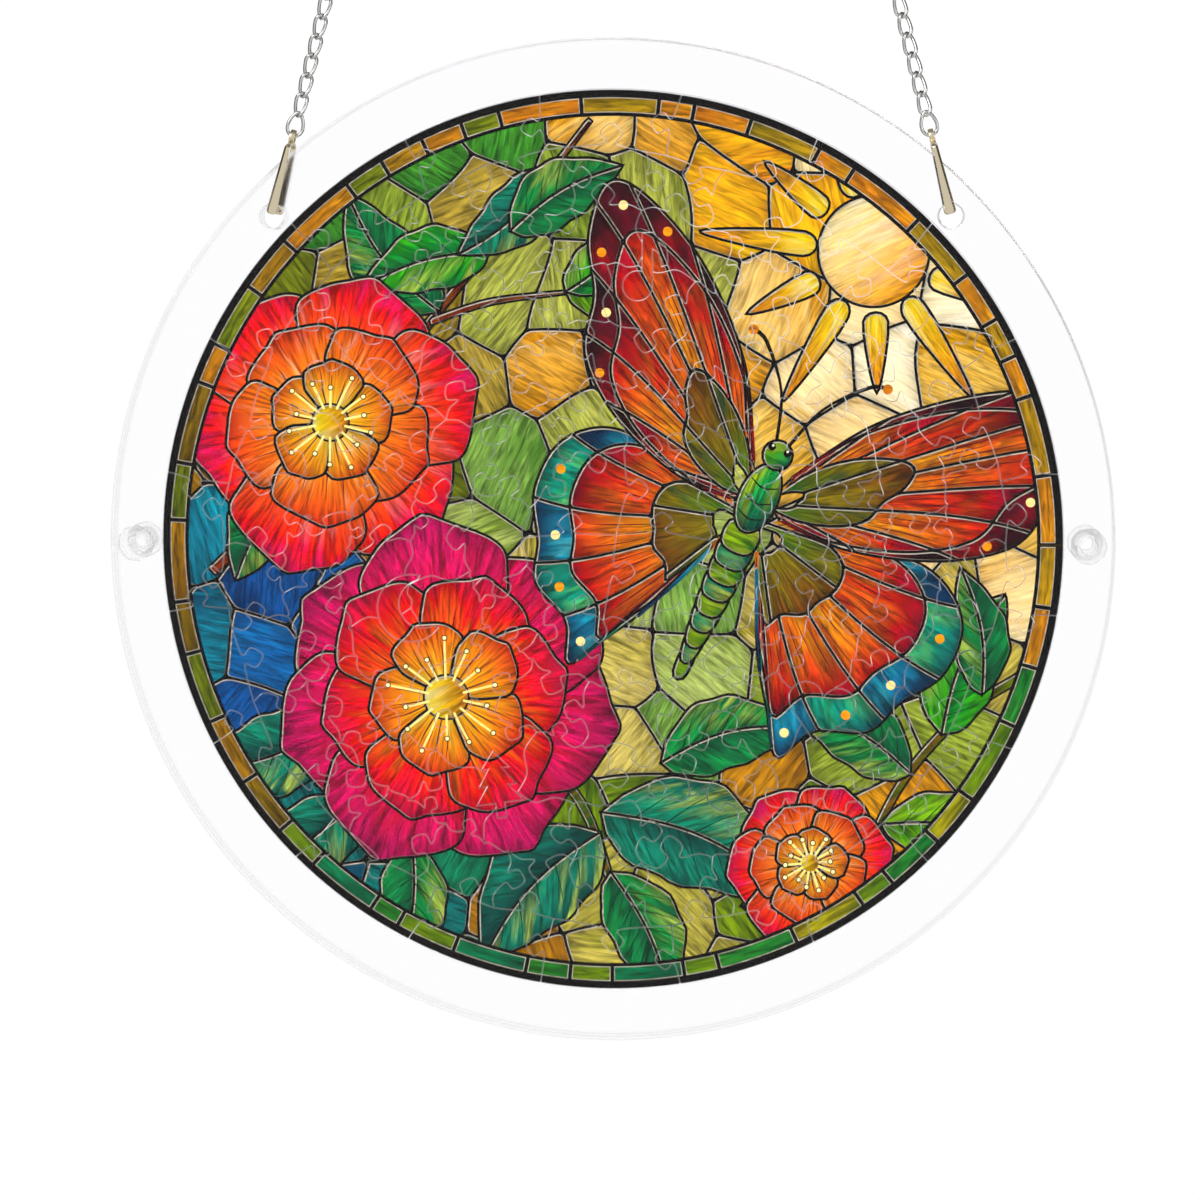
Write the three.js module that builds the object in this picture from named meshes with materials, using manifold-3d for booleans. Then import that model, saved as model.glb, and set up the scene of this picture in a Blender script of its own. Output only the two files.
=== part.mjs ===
// Acrylic puzzle suncatcher: a round printed puzzle between clear panels, hung on a chain.
// Millimetres, +X right, +Y away from the viewer, +Z up. The origin is the top of the hanging
// ring's eye, where a hook bears.

import * as THREE from 'three'
import { mergeVertices } from 'three/addons/utils/BufferGeometryUtils.js'
import Module from 'manifold-3d'

const wasm = await Module()
wasm.setup()

// Driving sizes of the clear disc
const DISC_DIAMETER = 200
const RIM_WIDTH = 10 // clear margin outside the puzzle
const PANEL_THICKNESS = 2.5
const PUZZLE_THICKNESS = 3
const GAP = 0.3 // air left between pieces that touch
const DISC_SIDES = 60
const HOLE_SIDES = 8

// Driving sizes of the puzzle's cuts
const KERF = 0.35
const RING_DEPTH = 12 // from one ring of pieces to the next
const EDGE_COUNT = 20
const SECOND_COUNT = 30 // pieces in the ring inside the edge pieces
const KNOB_RADIUS = 2.2
const DRIFT = 2 // how far the waves below push the cuts off their circles
const LONG_WAVE = 18 // wave lengths, each for one radian of its sine
const SHORT_WAVE = 8.5
const FIGURE_SIZE = 13.5

// Driving sizes of the two clear screws and their nuts
const SCREW_INSET = 5.4 // from the disc's edge to the screw's axis
const SHANK_DIAMETER = 3.4
const HEAD_DIAMETER = 7.2
const HEAD_HEIGHT = 2.2
const FLUTE_DEPTH = 0.35
const FLUTE_COUNT = 9

// Driving sizes of the hanging holes and the bails
const HOLE_ANGLE = 46 // degrees from the disc's top
const HOLE_INSET = 6.5 // from the disc's edge to the hole's centre
const HOLE_DIAMETER = 4.8
const STRIP_THICKNESS = 0.6
const STRIP_FOOT_WIDTH = 2.2
const STRIP_NECK_WIDTH = 1.1
const ARCH_RISE = 0.8 // of the bail over the disc's edge
const PRONG_DIAMETER = 1.2
const EYE_DIAMETER = 1.9
const EYE_SIDES = 8

// Driving sizes of the chain, its end links and the ring it hangs from
const HANG_HEIGHT = 338.6 // from the hook down to the disc's centre
const CHAIN_PITCH = 4
const CHAIN_WIRE = 0.6
const LINK_WIDTH = 2.9
const END_LINK_LENGTH = 5.4
const END_LINK_WIDTH = 3.7
const END_LINK_WIRE = 0.7
const JUMP_RING_DIAMETER = 5.6
const JUMP_RING_WIRE = 0.8
const RING_EYE_DIAMETER = 12
const RING_WIRE = 1.6
const RING_SIDES = 6
const RING_STEPS = 20
const SMALL_SIDES = 4 // of the end links' and jump rings' wire
const SMALL_STEPS = 12

// Sizes that follow from the driving ones
const DISC_RADIUS = DISC_DIAMETER / 2
const OPENING_RADIUS = DISC_RADIUS - RIM_WIDTH
const CUT_RADIUS = OPENING_RADIUS - GAP + KERF / 2 // the inset by half a kerf brings the play back
const FIELD_RADIUS = CUT_RADIUS - RING_DEPTH
const LAYER_STEP = PUZZLE_THICKNESS / 2 + GAP
const STACK_HALF = LAYER_STEP + PANEL_THICKNESS
const SCREW_RADIUS = DISC_RADIUS - SCREW_INSET
const HOLE_RADIUS = DISC_RADIUS - HOLE_INSET

// Materials
const clearAcrylic = new THREE.MeshStandardMaterial({
  color: '#f3f7fa', roughness: 0.05, metalness: 0, transparent: true, opacity: 0.3 })
const clearPlastic = new THREE.MeshStandardMaterial({
  color: '#e6eaec', roughness: 0.25, metalness: 0, transparent: true, opacity: 0.5 })
const steel = new THREE.MeshStandardMaterial({ color: '#b9b8b2', roughness: 0.25, metalness: 1 })
const printedAmber = new THREE.MeshStandardMaterial({ color: '#e0a13a', roughness: 0.2, metalness: 0 })
const printedTeal = new THREE.MeshStandardMaterial({ color: '#2c8f9a', roughness: 0.2, metalness: 0 })
const printedCoral = new THREE.MeshStandardMaterial({ color: '#e0503c', roughness: 0.2, metalness: 0 })

// Solids from and to manifold-3d, for joins and cuts only
function solidOf(geometry) {
  geometry.deleteAttribute('normal')
  geometry.deleteAttribute('uv')
  const merged = mergeVertices(geometry, 1e-5)
  return new wasm.Manifold(new wasm.Mesh({
    numProp: 3,
    vertProperties: new Float32Array(merged.attributes.position.array),
    triVerts: new Uint32Array(merged.index.array) }))
}

function geometryOf(solid) {
  const mesh = solid.getMesh()
  const geometry = new THREE.BufferGeometry()
  geometry.setAttribute('position', new THREE.BufferAttribute(mesh.vertProperties, 3))
  geometry.setIndex(new THREE.BufferAttribute(mesh.triVerts, 1))
  return geometry
}

function named(name, geometry, material) {
  const mesh = new THREE.Mesh(geometry, material)
  mesh.name = name
  return mesh
}

// Plane outlines
function polar(radius, degrees) {
  const angle = THREE.MathUtils.degToRad(degrees)
  return new THREE.Vector2(radius * Math.cos(angle), radius * Math.sin(angle))
}

function circle(radius, sides, centre = new THREE.Vector2()) {
  return Array.from({ length: sides }, (_, i) => polar(radius, 360 * i / sides).add(centre))
}

function plate(outline, holes, thickness) {
  const shape = new THREE.Shape(outline)
  shape.holes = holes.map(points => new THREE.Path(points))
  const geometry = new THREE.ExtrudeGeometry(shape, { depth: thickness, bevelEnabled: false })
  return geometry.translate(0, 0, -thickness / 2)
}

// A closed outline moved inwards by a distance, or outwards where it is negative
function inset(points, distance) {
  const turn = THREE.ShapeUtils.isClockWise(points) ? -1 : 1
  return points.map((point, i) => {
    const before = points.at(i - 1)
    const after = points[(i + 1) % points.length]
    const into = point.clone().sub(before).normalize()
    const out = after.clone().sub(point).normalize()
    const normal = new THREE.Vector2(-into.y - out.y, into.x + out.x).normalize()
    const spread = Math.max(0.5, normal.dot(new THREE.Vector2(-into.y, into.x)))
    return point.clone().addScaledVector(normal, turn * distance / spread)
  })
}

// The clear disc: two panels with a ring between them that holds the puzzle
const screwCentres = [-1, 1].map(side => new THREE.Vector2(side * SCREW_RADIUS, 0))
const holeCentres = [-1, 1].map(side => polar(HOLE_RADIUS, 90 - side * HOLE_ANGLE))

function throughHoles() {
  const screwHoles = screwCentres.map(centre => circle(SHANK_DIAMETER / 2 + GAP, HOLE_SIDES, centre))
  const hangingHoles = holeCentres.map(centre => circle(HOLE_DIAMETER / 2, HOLE_SIDES, centre))
  return [...screwHoles, ...hangingHoles]
}

function makePanel(name, place) {
  const outline = circle(DISC_RADIUS, DISC_SIDES)
  const mesh = named(name, plate(outline, throughHoles(), PANEL_THICKNESS), clearAcrylic)
  mesh.position.z = place
  return mesh
}

function makeFrameRing() {
  const outline = circle(DISC_RADIUS, DISC_SIDES)
  const opening = circle(OPENING_RADIUS, DISC_SIDES)
  return named('frame_ring', plate(outline, [opening, ...throughHoles()], PUZZLE_THICKNESS), clearAcrylic)
}

// The cut pattern: rings of pieces, pushed about by slow waves that die out at the rim
function drifted(point) {
  const fade = 1 - Math.min(1, point.length() / CUT_RADIUS) ** 4
  const dx = Math.sin(point.y / LONG_WAVE + 0.6) + 0.4 * Math.sin((point.x + point.y) / SHORT_WAVE)
  const dy = Math.sin(point.x / LONG_WAVE + 2.1) + 0.4 * Math.sin((point.x - point.y) / SHORT_WAVE)
  return point.clone().add(new THREE.Vector2(dx, dy).multiplyScalar(DRIFT * fade))
}

// One cut between two junctions, as pairs of run along it and offset across it
function knobbedCut(length, seed) {
  const radius = Math.min(KNOB_RADIUS, length * 0.17)
  if (length < 3 * KNOB_RADIUS) return []
  const side = (seed * seed * 3 + seed * 5) % 4 < 2 ? 1 : -1
  const middle = length * (0.5 + 0.05 * (seed % 3 - 1))
  const shape = [[-0.55, 0.35], [-1, 1.3], [0, 2.2], [1, 1.3], [0.55, 0.35]]
  return shape.map(([along, across]) => [middle + along * radius, side * across * radius])
}

function radialCut(degrees, seed) {
  const knob = knobbedCut(RING_DEPTH, seed)
  const line = [[0, 0], ...knob, [RING_DEPTH, 0]]
  return line.map(([run, offset]) => {
    const radius = CUT_RADIUS - run
    return drifted(polar(radius, degrees + THREE.MathUtils.radToDeg(offset / radius)))
  })
}

function arcCut(radius, from, to, seed) {
  const length = THREE.MathUtils.degToRad(to - from) * radius
  return [[0, 0], ...knobbedCut(length, seed)].map(([run, offset]) =>
    drifted(polar(radius + offset, from + THREE.MathUtils.radToDeg(run / radius))))
}

const edgeAngles = Array.from({ length: EDGE_COUNT }, (_, i) => 360 * (i + 0.5) / EDGE_COUNT)

// A cut of the second ring that comes close to an edge cut is moved to meet it
const secondAngles = Array.from({ length: SECOND_COUNT }, (_, i) => {
  const degrees = 360 * i / SECOND_COUNT
  return edgeAngles.find(edge => Math.abs(edge - degrees) < 60 / SECOND_COUNT) ?? degrees
})

const junctions = [...new Set([...edgeAngles, ...secondAngles])].sort((a, b) => a - b)

// The wavy circle between edge pieces and field, from one angle round to another
function innerBoundary(from, to) {
  const count = junctions.length
  const points = []
  let i = junctions.indexOf(from)
  do {
    const start = junctions[i]
    const next = (i + 1) % count
    const end = junctions[next] + (next === 0 ? 360 : 0)
    points.push(...arcCut(FIELD_RADIUS, start, end, i))
    i = next
  } while (junctions[i] !== to)
  return points
}

function makeEdgePiece(i) {
  const start = edgeAngles[i]
  const next = (i + 1) % EDGE_COUNT
  const step = 360 / EDGE_COUNT
  const rim = [1, 2].map(part => polar(CUT_RADIUS, start + step * part / 3))
  const inner = innerBoundary(start, edgeAngles[next])
  const outline = [...radialCut(start, i).reverse(), ...rim, ...radialCut(edgeAngles[next], next),
    ...inner.slice(1).reverse()]
  const number = String(i + 1).padStart(2, '0')
  const material = [printedAmber, printedTeal, printedCoral][i % 3]
  return named(`edge_piece_${number}`, plate(inset(outline, KERF / 2), [], PUZZLE_THICKNESS), material)
}

// The figure pieces, each drawn about its own middle at a half-size of one
function petals(count, samples, base, swing, lift) {
  return Array.from({ length: samples }, (_, i) => {
    const angle = 2 * Math.PI * i / samples + Math.PI / 2
    const lobe = base + swing * Math.cos(count * (angle - Math.PI / 2))
    const radius = lobe * (1 + lift * Math.sin(angle))
    return new THREE.Vector2(radius * Math.cos(angle), radius * Math.sin(angle))
  })
}

function arcPoints(radius, from, to, steps, x, y) {
  return Array.from({ length: steps + 1 }, (_, i) =>
    polar(radius, from + (to - from) * i / steps).add(new THREE.Vector2(x, y)))
}

function crescentShape() {
  return [...arcPoints(1, 55, 305, 10, 0, 0), ...arcPoints(0.72, 275, 85, 7, 0.38, 0)]
}

function heartShape() {
  return Array.from({ length: 16 }, (_, i) => {
    const t = 2 * Math.PI * i / 16
    const y = 13 * Math.cos(t) - 5 * Math.cos(2 * t) - 2 * Math.cos(3 * t) - Math.cos(4 * t)
    return new THREE.Vector2(Math.sin(t) ** 3, (y + 2.5) / 16)
  })
}

function treeShape() {
  const right = [new THREE.Vector2(0, 1)]
  for (const tier of [1, 2, 3]) {
    right.push(new THREE.Vector2(0.28 + 0.14 * tier, 1 - 0.52 * tier))
    if (tier < 3) right.push(new THREE.Vector2(0.08 + 0.12 * tier, 1 - 0.52 * tier))
  }
  right.push(new THREE.Vector2(0.14, -0.56), new THREE.Vector2(0.14, -1))
  const left = right.slice(1).reverse().map(point => new THREE.Vector2(-point.x, point.y))
  return [...right, ...left]
}

function noteShape() {
  const head = arcPoints(0.44, 72, 360, 7, -0.22, -0.56)
  const flag = [[0.22, 0.52], [0.42, 0.35], [0.48, 0], [0.66, 0.05], [0.62, 0.55], [0.22, 1], [-0.08, 1]]
  return [...head, ...flag.map(([x, y]) => new THREE.Vector2(x, y))]
}

const figures = [
  { name: 'crescent_piece', outline: crescentShape(), circle: 4, degrees: 198, turn: 20 },
  { name: 'heart_piece', outline: heartShape(), circle: 3, degrees: 322.5, turn: -12 },
  { name: 'tree_piece', outline: treeShape(), circle: 3, degrees: 247.5, turn: 8 },
  { name: 'note_piece', outline: noteShape(), circle: 3, degrees: 82.5, turn: 0 },
  { name: 'clover_piece', outline: petals(4, 16, 0.66, 0.34, 0), circle: 5, degrees: 24, turn: 30 },
  { name: 'butterfly_piece', outline: petals(4, 16, 0.66, -0.34, 0.2), circle: 3, degrees: 142.5, turn: 9 },
  { name: 'leaf_piece', outline: petals(5, 20, 0.68, 0.32, 0), circle: 3, degrees: 37.5, turn: -20 },
]

function placedFigure(figure) {
  const centre = drifted(polar(CUT_RADIUS - figure.circle * RING_DEPTH, figure.degrees))
  const turn = THREE.MathUtils.degToRad(figure.turn)
  return figure.outline.map(point =>
    point.clone().multiplyScalar(FIGURE_SIZE / 2).rotateAround(new THREE.Vector2(), turn).add(centre))
}

function makeFigure(figure, i) {
  const outline = inset(placedFigure(figure), KERF / 2)
  const material = [printedCoral, printedAmber, printedTeal][i % 3]
  return named(figure.name, plate(outline, [], PUZZLE_THICKNESS), material)
}

// The pieces inside the edge ring, joined here as one plate with the figures' places cut out
function makeField() {
  const outline = inset(innerBoundary(junctions[0], junctions[0]), KERF / 2)
  const places = figures.map(figure => inset(placedFigure(figure), -KERF / 2))
  return named('puzzle_field', plate(outline, places, PUZZLE_THICKNESS), printedTeal)
}

// The clear screws from the front and the fluted nuts on the back
function flutedOutline() {
  return Array.from({ length: 2 * FLUTE_COUNT }, (_, i) =>
    polar(HEAD_DIAMETER / 2 - (i % 2) * FLUTE_DEPTH, 180 * i / FLUTE_COUNT))
}

function makeScrew(name, centre) {
  const headFace = STACK_HALF + GAP
  const head = plate(flutedOutline(), [], HEAD_HEIGHT).translate(0, 0, headFace + HEAD_HEIGHT / 2)
  const length = 2 * headFace + HEAD_HEIGHT
  const shank = new THREE.CylinderGeometry(SHANK_DIAMETER / 2, SHANK_DIAMETER / 2, length, HOLE_SIDES)
  shank.rotateX(Math.PI / 2).translate(0, 0, headFace - length / 2 + HEAD_HEIGHT / 4)
  const mesh = named(name, geometryOf(solidOf(head).add(solidOf(shank))), clearPlastic)
  mesh.position.set(centre.x, centre.y, 0)
  return mesh
}

function makeNut(name, centre) {
  const bore = circle(SHANK_DIAMETER / 2 + GAP, HOLE_SIDES)
  const mesh = named(name, plate(flutedOutline(), [bore], HEAD_HEIGHT), clearPlastic)
  mesh.position.set(centre.x, centre.y, -(STACK_HALF + GAP + HEAD_HEIGHT / 2))
  return mesh
}

// One chain run goes straight from a hanging hole to the middle of the ring above. All that hangs
// on it is built with +Y along the run and its zero in the hole's centre.
const ringCentre = new THREE.Vector2(0, HANG_HEIGHT - RING_EYE_DIAMETER / 2)
const runLength = ringCentre.distanceTo(holeCentres[1])
const lean = Math.atan2(holeCentres[1].x, ringCentre.y - holeCentres[1].y)

// How far along the run the disc's edge reaches under a strip of the bail's width
function edgeReach() {
  const along = new THREE.Vector2(-Math.sin(lean), Math.cos(lean))
  const across = new THREE.Vector2(along.y, -along.x)
  const reaches = [-1, 1].map(side => {
    const start = holeCentres[1].clone().addScaledVector(across, side * STRIP_FOOT_WIDTH / 2)
    const run = start.dot(along)
    return Math.sqrt(run * run + DISC_RADIUS ** 2 - start.lengthSq()) - run
  })
  return Math.max(...reaches)
}

const prongPlace = HOLE_DIAMETER / 2 - PRONG_DIAMETER / 2 - GAP
const shoulder = edgeReach() + GAP
const eyePlace = shoulder + ARCH_RISE + STRIP_THICKNESS + EYE_DIAMETER / 2
const endLinkFoot = eyePlace + EYE_DIAMETER / 2 - END_LINK_WIRE / 2 - GAP
const endLinkHead = endLinkFoot + END_LINK_LENGTH - END_LINK_WIRE

// A bail is one strip: legs on both faces, an arch over the edge, an eye on top and two prongs
function makeBail(name) {
  const legPlace = STACK_HALF + GAP + STRIP_THICKNESS / 2
  const foot = prongPlace - STRIP_FOOT_WIDTH / 2
  const archSteps = 6
  const arch = Array.from({ length: archSteps + 1 }, (_, i) => {
    const angle = Math.PI * i / archSteps
    return { cos: Math.cos(angle), sin: Math.sin(angle) }
  })
  const archLine = growth => arch.map(({ cos, sin }) => new THREE.Vector2(
    (legPlace + growth) * cos, shoulder + (ARCH_RISE + STRIP_THICKNESS / 2 + growth) * sin))
  const outer = archLine(STRIP_THICKNESS / 2)
  const inner = archLine(-STRIP_THICKNESS / 2)
  const bandOutline = [new THREE.Vector2(outer[0].x, foot), ...outer,
    new THREE.Vector2(-outer[0].x, foot), new THREE.Vector2(-inner[0].x, foot), ...inner.reverse(),
    new THREE.Vector2(inner.at(-1).x, foot)]
  const band = solidOf(plate(bandOutline, [], STRIP_FOOT_WIDTH))
  const eyeOutline = circle(EYE_DIAMETER / 2 + STRIP_THICKNESS, EYE_SIDES, new THREE.Vector2(0, eyePlace))
  const eyeHole = circle(EYE_DIAMETER / 2, EYE_SIDES, new THREE.Vector2(0, eyePlace))
  const eye = solidOf(plate(eyeOutline, [eyeHole], STRIP_FOOT_WIDTH))
  const side = solidOf(geometryOf(band.add(eye)).rotateY(Math.PI / 2))

  const neck = STRIP_NECK_WIDTH / 2
  const wide = STRIP_FOOT_WIDTH / 2
  const top = eyePlace + EYE_DIAMETER
  const rightEdge = [[wide * 0.55, foot], [wide, foot + wide * 0.6], [neck, shoulder], [neck, top]]
  const frontOutline = [...rightEdge, ...rightEdge.map(([x, y]) => [-x, y]).reverse()]
  const front = solidOf(plate(frontOutline.map(([x, y]) => new THREE.Vector2(x, y)), [], 4 * legPlace))

  const prongs = [-1, 1].map(side => {
    const length = legPlace - PUZZLE_THICKNESS / 4
    const cone = new THREE.CylinderGeometry(PRONG_DIAMETER / 2, PRONG_DIAMETER / 4, length, 8)
    cone.rotateX(side * Math.PI / 2).translate(0, prongPlace, side * (legPlace - length / 2))
    return solidOf(cone)
  })
  return named(name, geometryOf(side.intersect(front).add(prongs[0]).add(prongs[1])), steel)
}

// A wire bent round a closed path: the torus's own ring is moved onto the path, step by step
function wireLoop(path, wireRadius, sides, steps) {
  const base = 10 * Math.abs(wireRadius)
  const geometry = new THREE.TorusGeometry(base, wireRadius, sides, steps)
  const position = geometry.attributes.position
  for (let i = 0; i < position.count; i++) {
    const angle = Math.atan2(position.getY(i), position.getX(i))
    const outwards = Math.hypot(position.getX(i), position.getY(i)) - base
    const point = path(angle, outwards, position.getZ(i))
    position.setXYZ(i, point.x, point.y, point.z)
  }
  return geometry
}

// An end link is drawn with its foot at zero, wide at the foot and narrow at the head
function makeEndLink(name) {
  const halfLength = (END_LINK_LENGTH - END_LINK_WIRE) / 2
  const halfWidth = (END_LINK_WIDTH - END_LINK_WIRE) / 2
  const path = (angle, outwards, depth) => {
    const width = halfWidth * (1 - 0.28 * Math.sin(angle)) + outwards
    return new THREE.Vector3(width * Math.cos(angle), (halfLength + outwards) * Math.sin(angle), depth)
  }
  const mesh = named(name, wireLoop(path, END_LINK_WIRE / 2, SMALL_SIDES, SMALL_STEPS), steel)
  mesh.position.y = endLinkFoot + halfLength
  return mesh
}

// The jump ring between the chain and the hanging ring stands edge-on to the viewer
const jumpReach = (JUMP_RING_DIAMETER - JUMP_RING_WIRE) / 2
const jumpPlace = runLength - (RING_EYE_DIAMETER + RING_WIRE) / 2
  + (RING_WIRE + JUMP_RING_WIRE) / 2 + GAP - jumpReach

function makeJumpRing(name) {
  const loop = new THREE.TorusGeometry(jumpReach, JUMP_RING_WIRE / 2, SMALL_SIDES, SMALL_STEPS)
  const mesh = named(name, loop, steel)
  mesh.rotation.y = Math.PI / 2
  mesh.position.y = jumpPlace
  return mesh
}

// The chain's links are twisted a quarter turn end to end, and fuse where their wires cross
const wireRidge = CHAIN_WIRE * 0.75 // from the wire's middle to the section's ridge, on the corner line
const crossing = 2 * wireRidge / Math.SQRT2 - CHAIN_WIRE / 4
const chainFoot = endLinkHead - END_LINK_WIRE / 2 - GAP - wireRidge / Math.SQRT2
const chainHead = jumpPlace - jumpReach + JUMP_RING_WIRE / 2 + GAP + wireRidge / Math.SQRT2
const linkCount = Math.round((chainHead - chainFoot) / CHAIN_PITCH)
const linkLength = (chainHead - chainFoot + (linkCount - 1) * crossing) / linkCount

function linkSolid(index) {
  const halfLength = linkLength / 2
  const halfWidth = (LINK_WIDTH - CHAIN_WIRE) / 2
  const path = (angle, outwards, depth) => {
    const inwards = -outwards / Math.SQRT2
    const corner = angle + Math.PI / 4
    const x = Math.sign(Math.cos(corner)) * (halfWidth - inwards)
    const y = Math.sign(Math.sin(corner)) * (halfLength - inwards)
    const twist = new THREE.Vector3(0, 1, 0)
    return new THREE.Vector3(x, y, depth).applyAxisAngle(twist, Math.sign(y) * Math.PI / 4)
  }
  const geometry = wireLoop(path, -wireRidge, 3, 4)
  const foot = chainFoot + index * (linkLength - crossing)
  return solidOf(geometry.translate(0, foot + halfLength, 0))
}

function makeChain(name) {
  const links = Array.from({ length: linkCount }, (_, i) => linkSolid(i))
  return named(name, geometryOf(links.reduce((chain, link) => chain.add(link))), steel)
}

function makeHangingRing() {
  const middle = (RING_EYE_DIAMETER + RING_WIRE) / 2
  const loop = new THREE.TorusGeometry(middle, RING_WIRE / 2, RING_SIDES, RING_STEPS)
  const mesh = named('hanging_ring', loop, steel)
  mesh.position.set(ringCentre.x, ringCentre.y, 0)
  return mesh
}

// The whole suncatcher. The disc is drawn lying down and stood up by one quarter turn.
const suncatcher = new THREE.Group()
const disc = new THREE.Group()
disc.position.z = -HANG_HEIGHT
disc.rotation.x = Math.PI / 2
suncatcher.add(disc)

disc.add(makePanel('front_panel', LAYER_STEP + PANEL_THICKNESS / 2))
disc.add(makeFrameRing())
disc.add(makePanel('back_panel', -(LAYER_STEP + PANEL_THICKNESS / 2)))
edgeAngles.forEach((_, i) => disc.add(makeEdgePiece(i)))
figures.forEach((figure, i) => disc.add(makeFigure(figure, i)))
disc.add(makeField())

for (const [i, side] of ['left', 'right'].entries()) {
  disc.add(makeScrew(`screw_${side}`, screwCentres[i]))
  disc.add(makeNut(`nut_${side}`, screwCentres[i]))
  const run = new THREE.Group()
  run.position.set(holeCentres[i].x, holeCentres[i].y, 0)
  run.rotation.z = Math.sign(holeCentres[i].x) * lean
  run.add(makeBail(`bail_${side}`))
  run.add(makeEndLink(`end_link_${side}`))
  run.add(makeChain(`chain_${side}`))
  run.add(makeJumpRing(`jump_ring_${side}`))
  disc.add(run)
}
disc.add(makeHangingRing())

export default suncatcher
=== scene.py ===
# %% [markdown]
# # An acrylic puzzle suncatcher
#
# A round jigsaw picture, printed in the style of stained glass, sits between clear acrylic panels and
# hangs on a thin curb chain. The solids come from the CAD frame. This lesson gives each of them its
# finished surface: the cut puzzle with its print, the polished acrylic, the clear screws, and the
# plated chain and bails. All pieces stay where the frame has them.

# %% Load the frame
import math

import bmesh
import bpy
import numpy as np
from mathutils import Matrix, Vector
from mathutils.geometry import delaunay_2d_cdt


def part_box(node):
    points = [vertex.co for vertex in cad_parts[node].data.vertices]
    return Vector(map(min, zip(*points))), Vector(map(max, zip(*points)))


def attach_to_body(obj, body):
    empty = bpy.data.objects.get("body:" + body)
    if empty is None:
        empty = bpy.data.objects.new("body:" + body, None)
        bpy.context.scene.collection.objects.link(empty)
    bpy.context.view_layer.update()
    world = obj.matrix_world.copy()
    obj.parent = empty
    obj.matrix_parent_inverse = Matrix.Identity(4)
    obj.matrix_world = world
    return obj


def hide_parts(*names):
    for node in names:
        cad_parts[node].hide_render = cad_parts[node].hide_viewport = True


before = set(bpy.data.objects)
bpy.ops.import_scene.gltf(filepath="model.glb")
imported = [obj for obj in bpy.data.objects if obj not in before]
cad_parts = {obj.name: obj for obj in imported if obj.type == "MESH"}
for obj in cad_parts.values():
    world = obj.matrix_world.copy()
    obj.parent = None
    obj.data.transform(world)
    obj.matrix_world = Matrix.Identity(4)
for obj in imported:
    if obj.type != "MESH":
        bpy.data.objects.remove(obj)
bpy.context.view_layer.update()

# %% [markdown]
# The disc is worked out flat, in millimetres: x to the right, y up and depth towards the viewer, with
# zero in the disc's middle. A piece could be made at zero and then moved by its object, but a pattern
# on object coordinates would then slide with it. So one function carries each point into the frame, and
# every mesh is made in its place. The clear rim is 10 mm wide, `GAP` is the play between fitted parts,
# and `KERF` is what the laser takes away between the solids.

# %% The disc's own measures
MM = 0.001
panel_low, panel_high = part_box("front_panel")
ring_low, ring_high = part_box("frame_ring")
DISC_RADIUS = (panel_high[0] - panel_low[0]) / 2 / MM
DISC_HEIGHT = (panel_high[2] + panel_low[2]) / 2
RIM_WIDTH = 10
GAP = 0.3
KERF = 0.35
PUZZLE_HALF = (ring_high[1] - ring_low[1]) / 2 / MM


def at(x, y, depth=0.0):
    return Vector((x * MM, -depth * MM, DISC_HEIGHT + y * MM))


def polar(radius, degrees):
    angle = math.radians(degrees)
    return (radius * math.cos(angle), radius * math.sin(angle))


def turned(x, y, degrees, to=(0.0, 0.0)):
    """The point turned about zero, and then carried to where zero goes."""
    cos, sin = math.cos(math.radians(degrees)), math.sin(math.radians(degrees))
    return (to[0] + x * cos - y * sin, to[1] + x * sin + y * cos)


def circle(radius, steps, x=0.0, y=0.0):
    points = (polar(radius, 360 * i / steps) for i in range(steps))
    return [(x + px, y + py) for px, py in points]


def random_value(seed):
    return math.sin(seed * 12.9898 + 4.1) * 43758.5453 % 1


print("Disc radius", round(DISC_RADIUS, 2), "mm, puzzle thickness", round(2 * PUZZLE_HALF, 2), "mm")

# %% [markdown]
# ## Materials
#
# Colours are written as the hex codes that a painter would pick, and one function turns them to the
# linear values that Blender's shaders use. A second function adds a node with its settings and its
# links, so that a material reads as a short list of steps.

# %% Colour and node helpers
def linear(code):
    parts = [int(code[i:i + 2], 16) / 255 for i in (1, 3, 5)]
    channels = [c / 12.92 if c <= 0.04045 else ((c + 0.055) / 1.055) ** 2.4 for c in parts]
    return (*channels, 1.0)


def add(tree, kind, settings=None, inputs=None):
    node = tree.nodes.new(kind)
    for name, value in (settings or {}).items():
        setattr(node, name, value)
    for name, value in (inputs or {}).items():
        if isinstance(value, bpy.types.NodeSocket):
            tree.links.new(value, node.inputs[name])
        else:
            node.inputs[name].default_value = value
    return node


def new_material(name):
    material = bpy.data.materials.new(name)
    material.use_nodes = True
    tree = material.node_tree
    tree.nodes.clear()
    return material, tree


def finish_material(tree, inputs):
    shader = add(tree, "ShaderNodeBsdfPrincipled", inputs=inputs)
    add(tree, "ShaderNodeOutputMaterial", inputs={"Surface": shader.outputs["BSDF"]})
    return shader


print("The hex code #808080 is", round(linear("#808080")[0], 3), "in linear light")

# %% [markdown]
# The clear parts are cast acrylic, laser cut and flame polished. Acrylic lets nearly all light
# through and bends it a little less than window glass. Transmission alone would be the true way, but
# a print behind two such faces turns grey and grainy. So the alpha value lets most of the light pass
# straight on. The broad faces have a low one and little gloss, which keeps the print behind them deep
# in colour. The narrow edges have a higher one, because that is where the eye finds a clear sheet. A
# trace of grey shows where the sheet ends. The faces have no roughness at all: every ray has to cross
# them, and a perfectly sharp face costs far less time than one that is nearly sharp. On the edges the
# polish is a little uneven over some 40 millimetres, which noise in the roughness gives.

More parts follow.
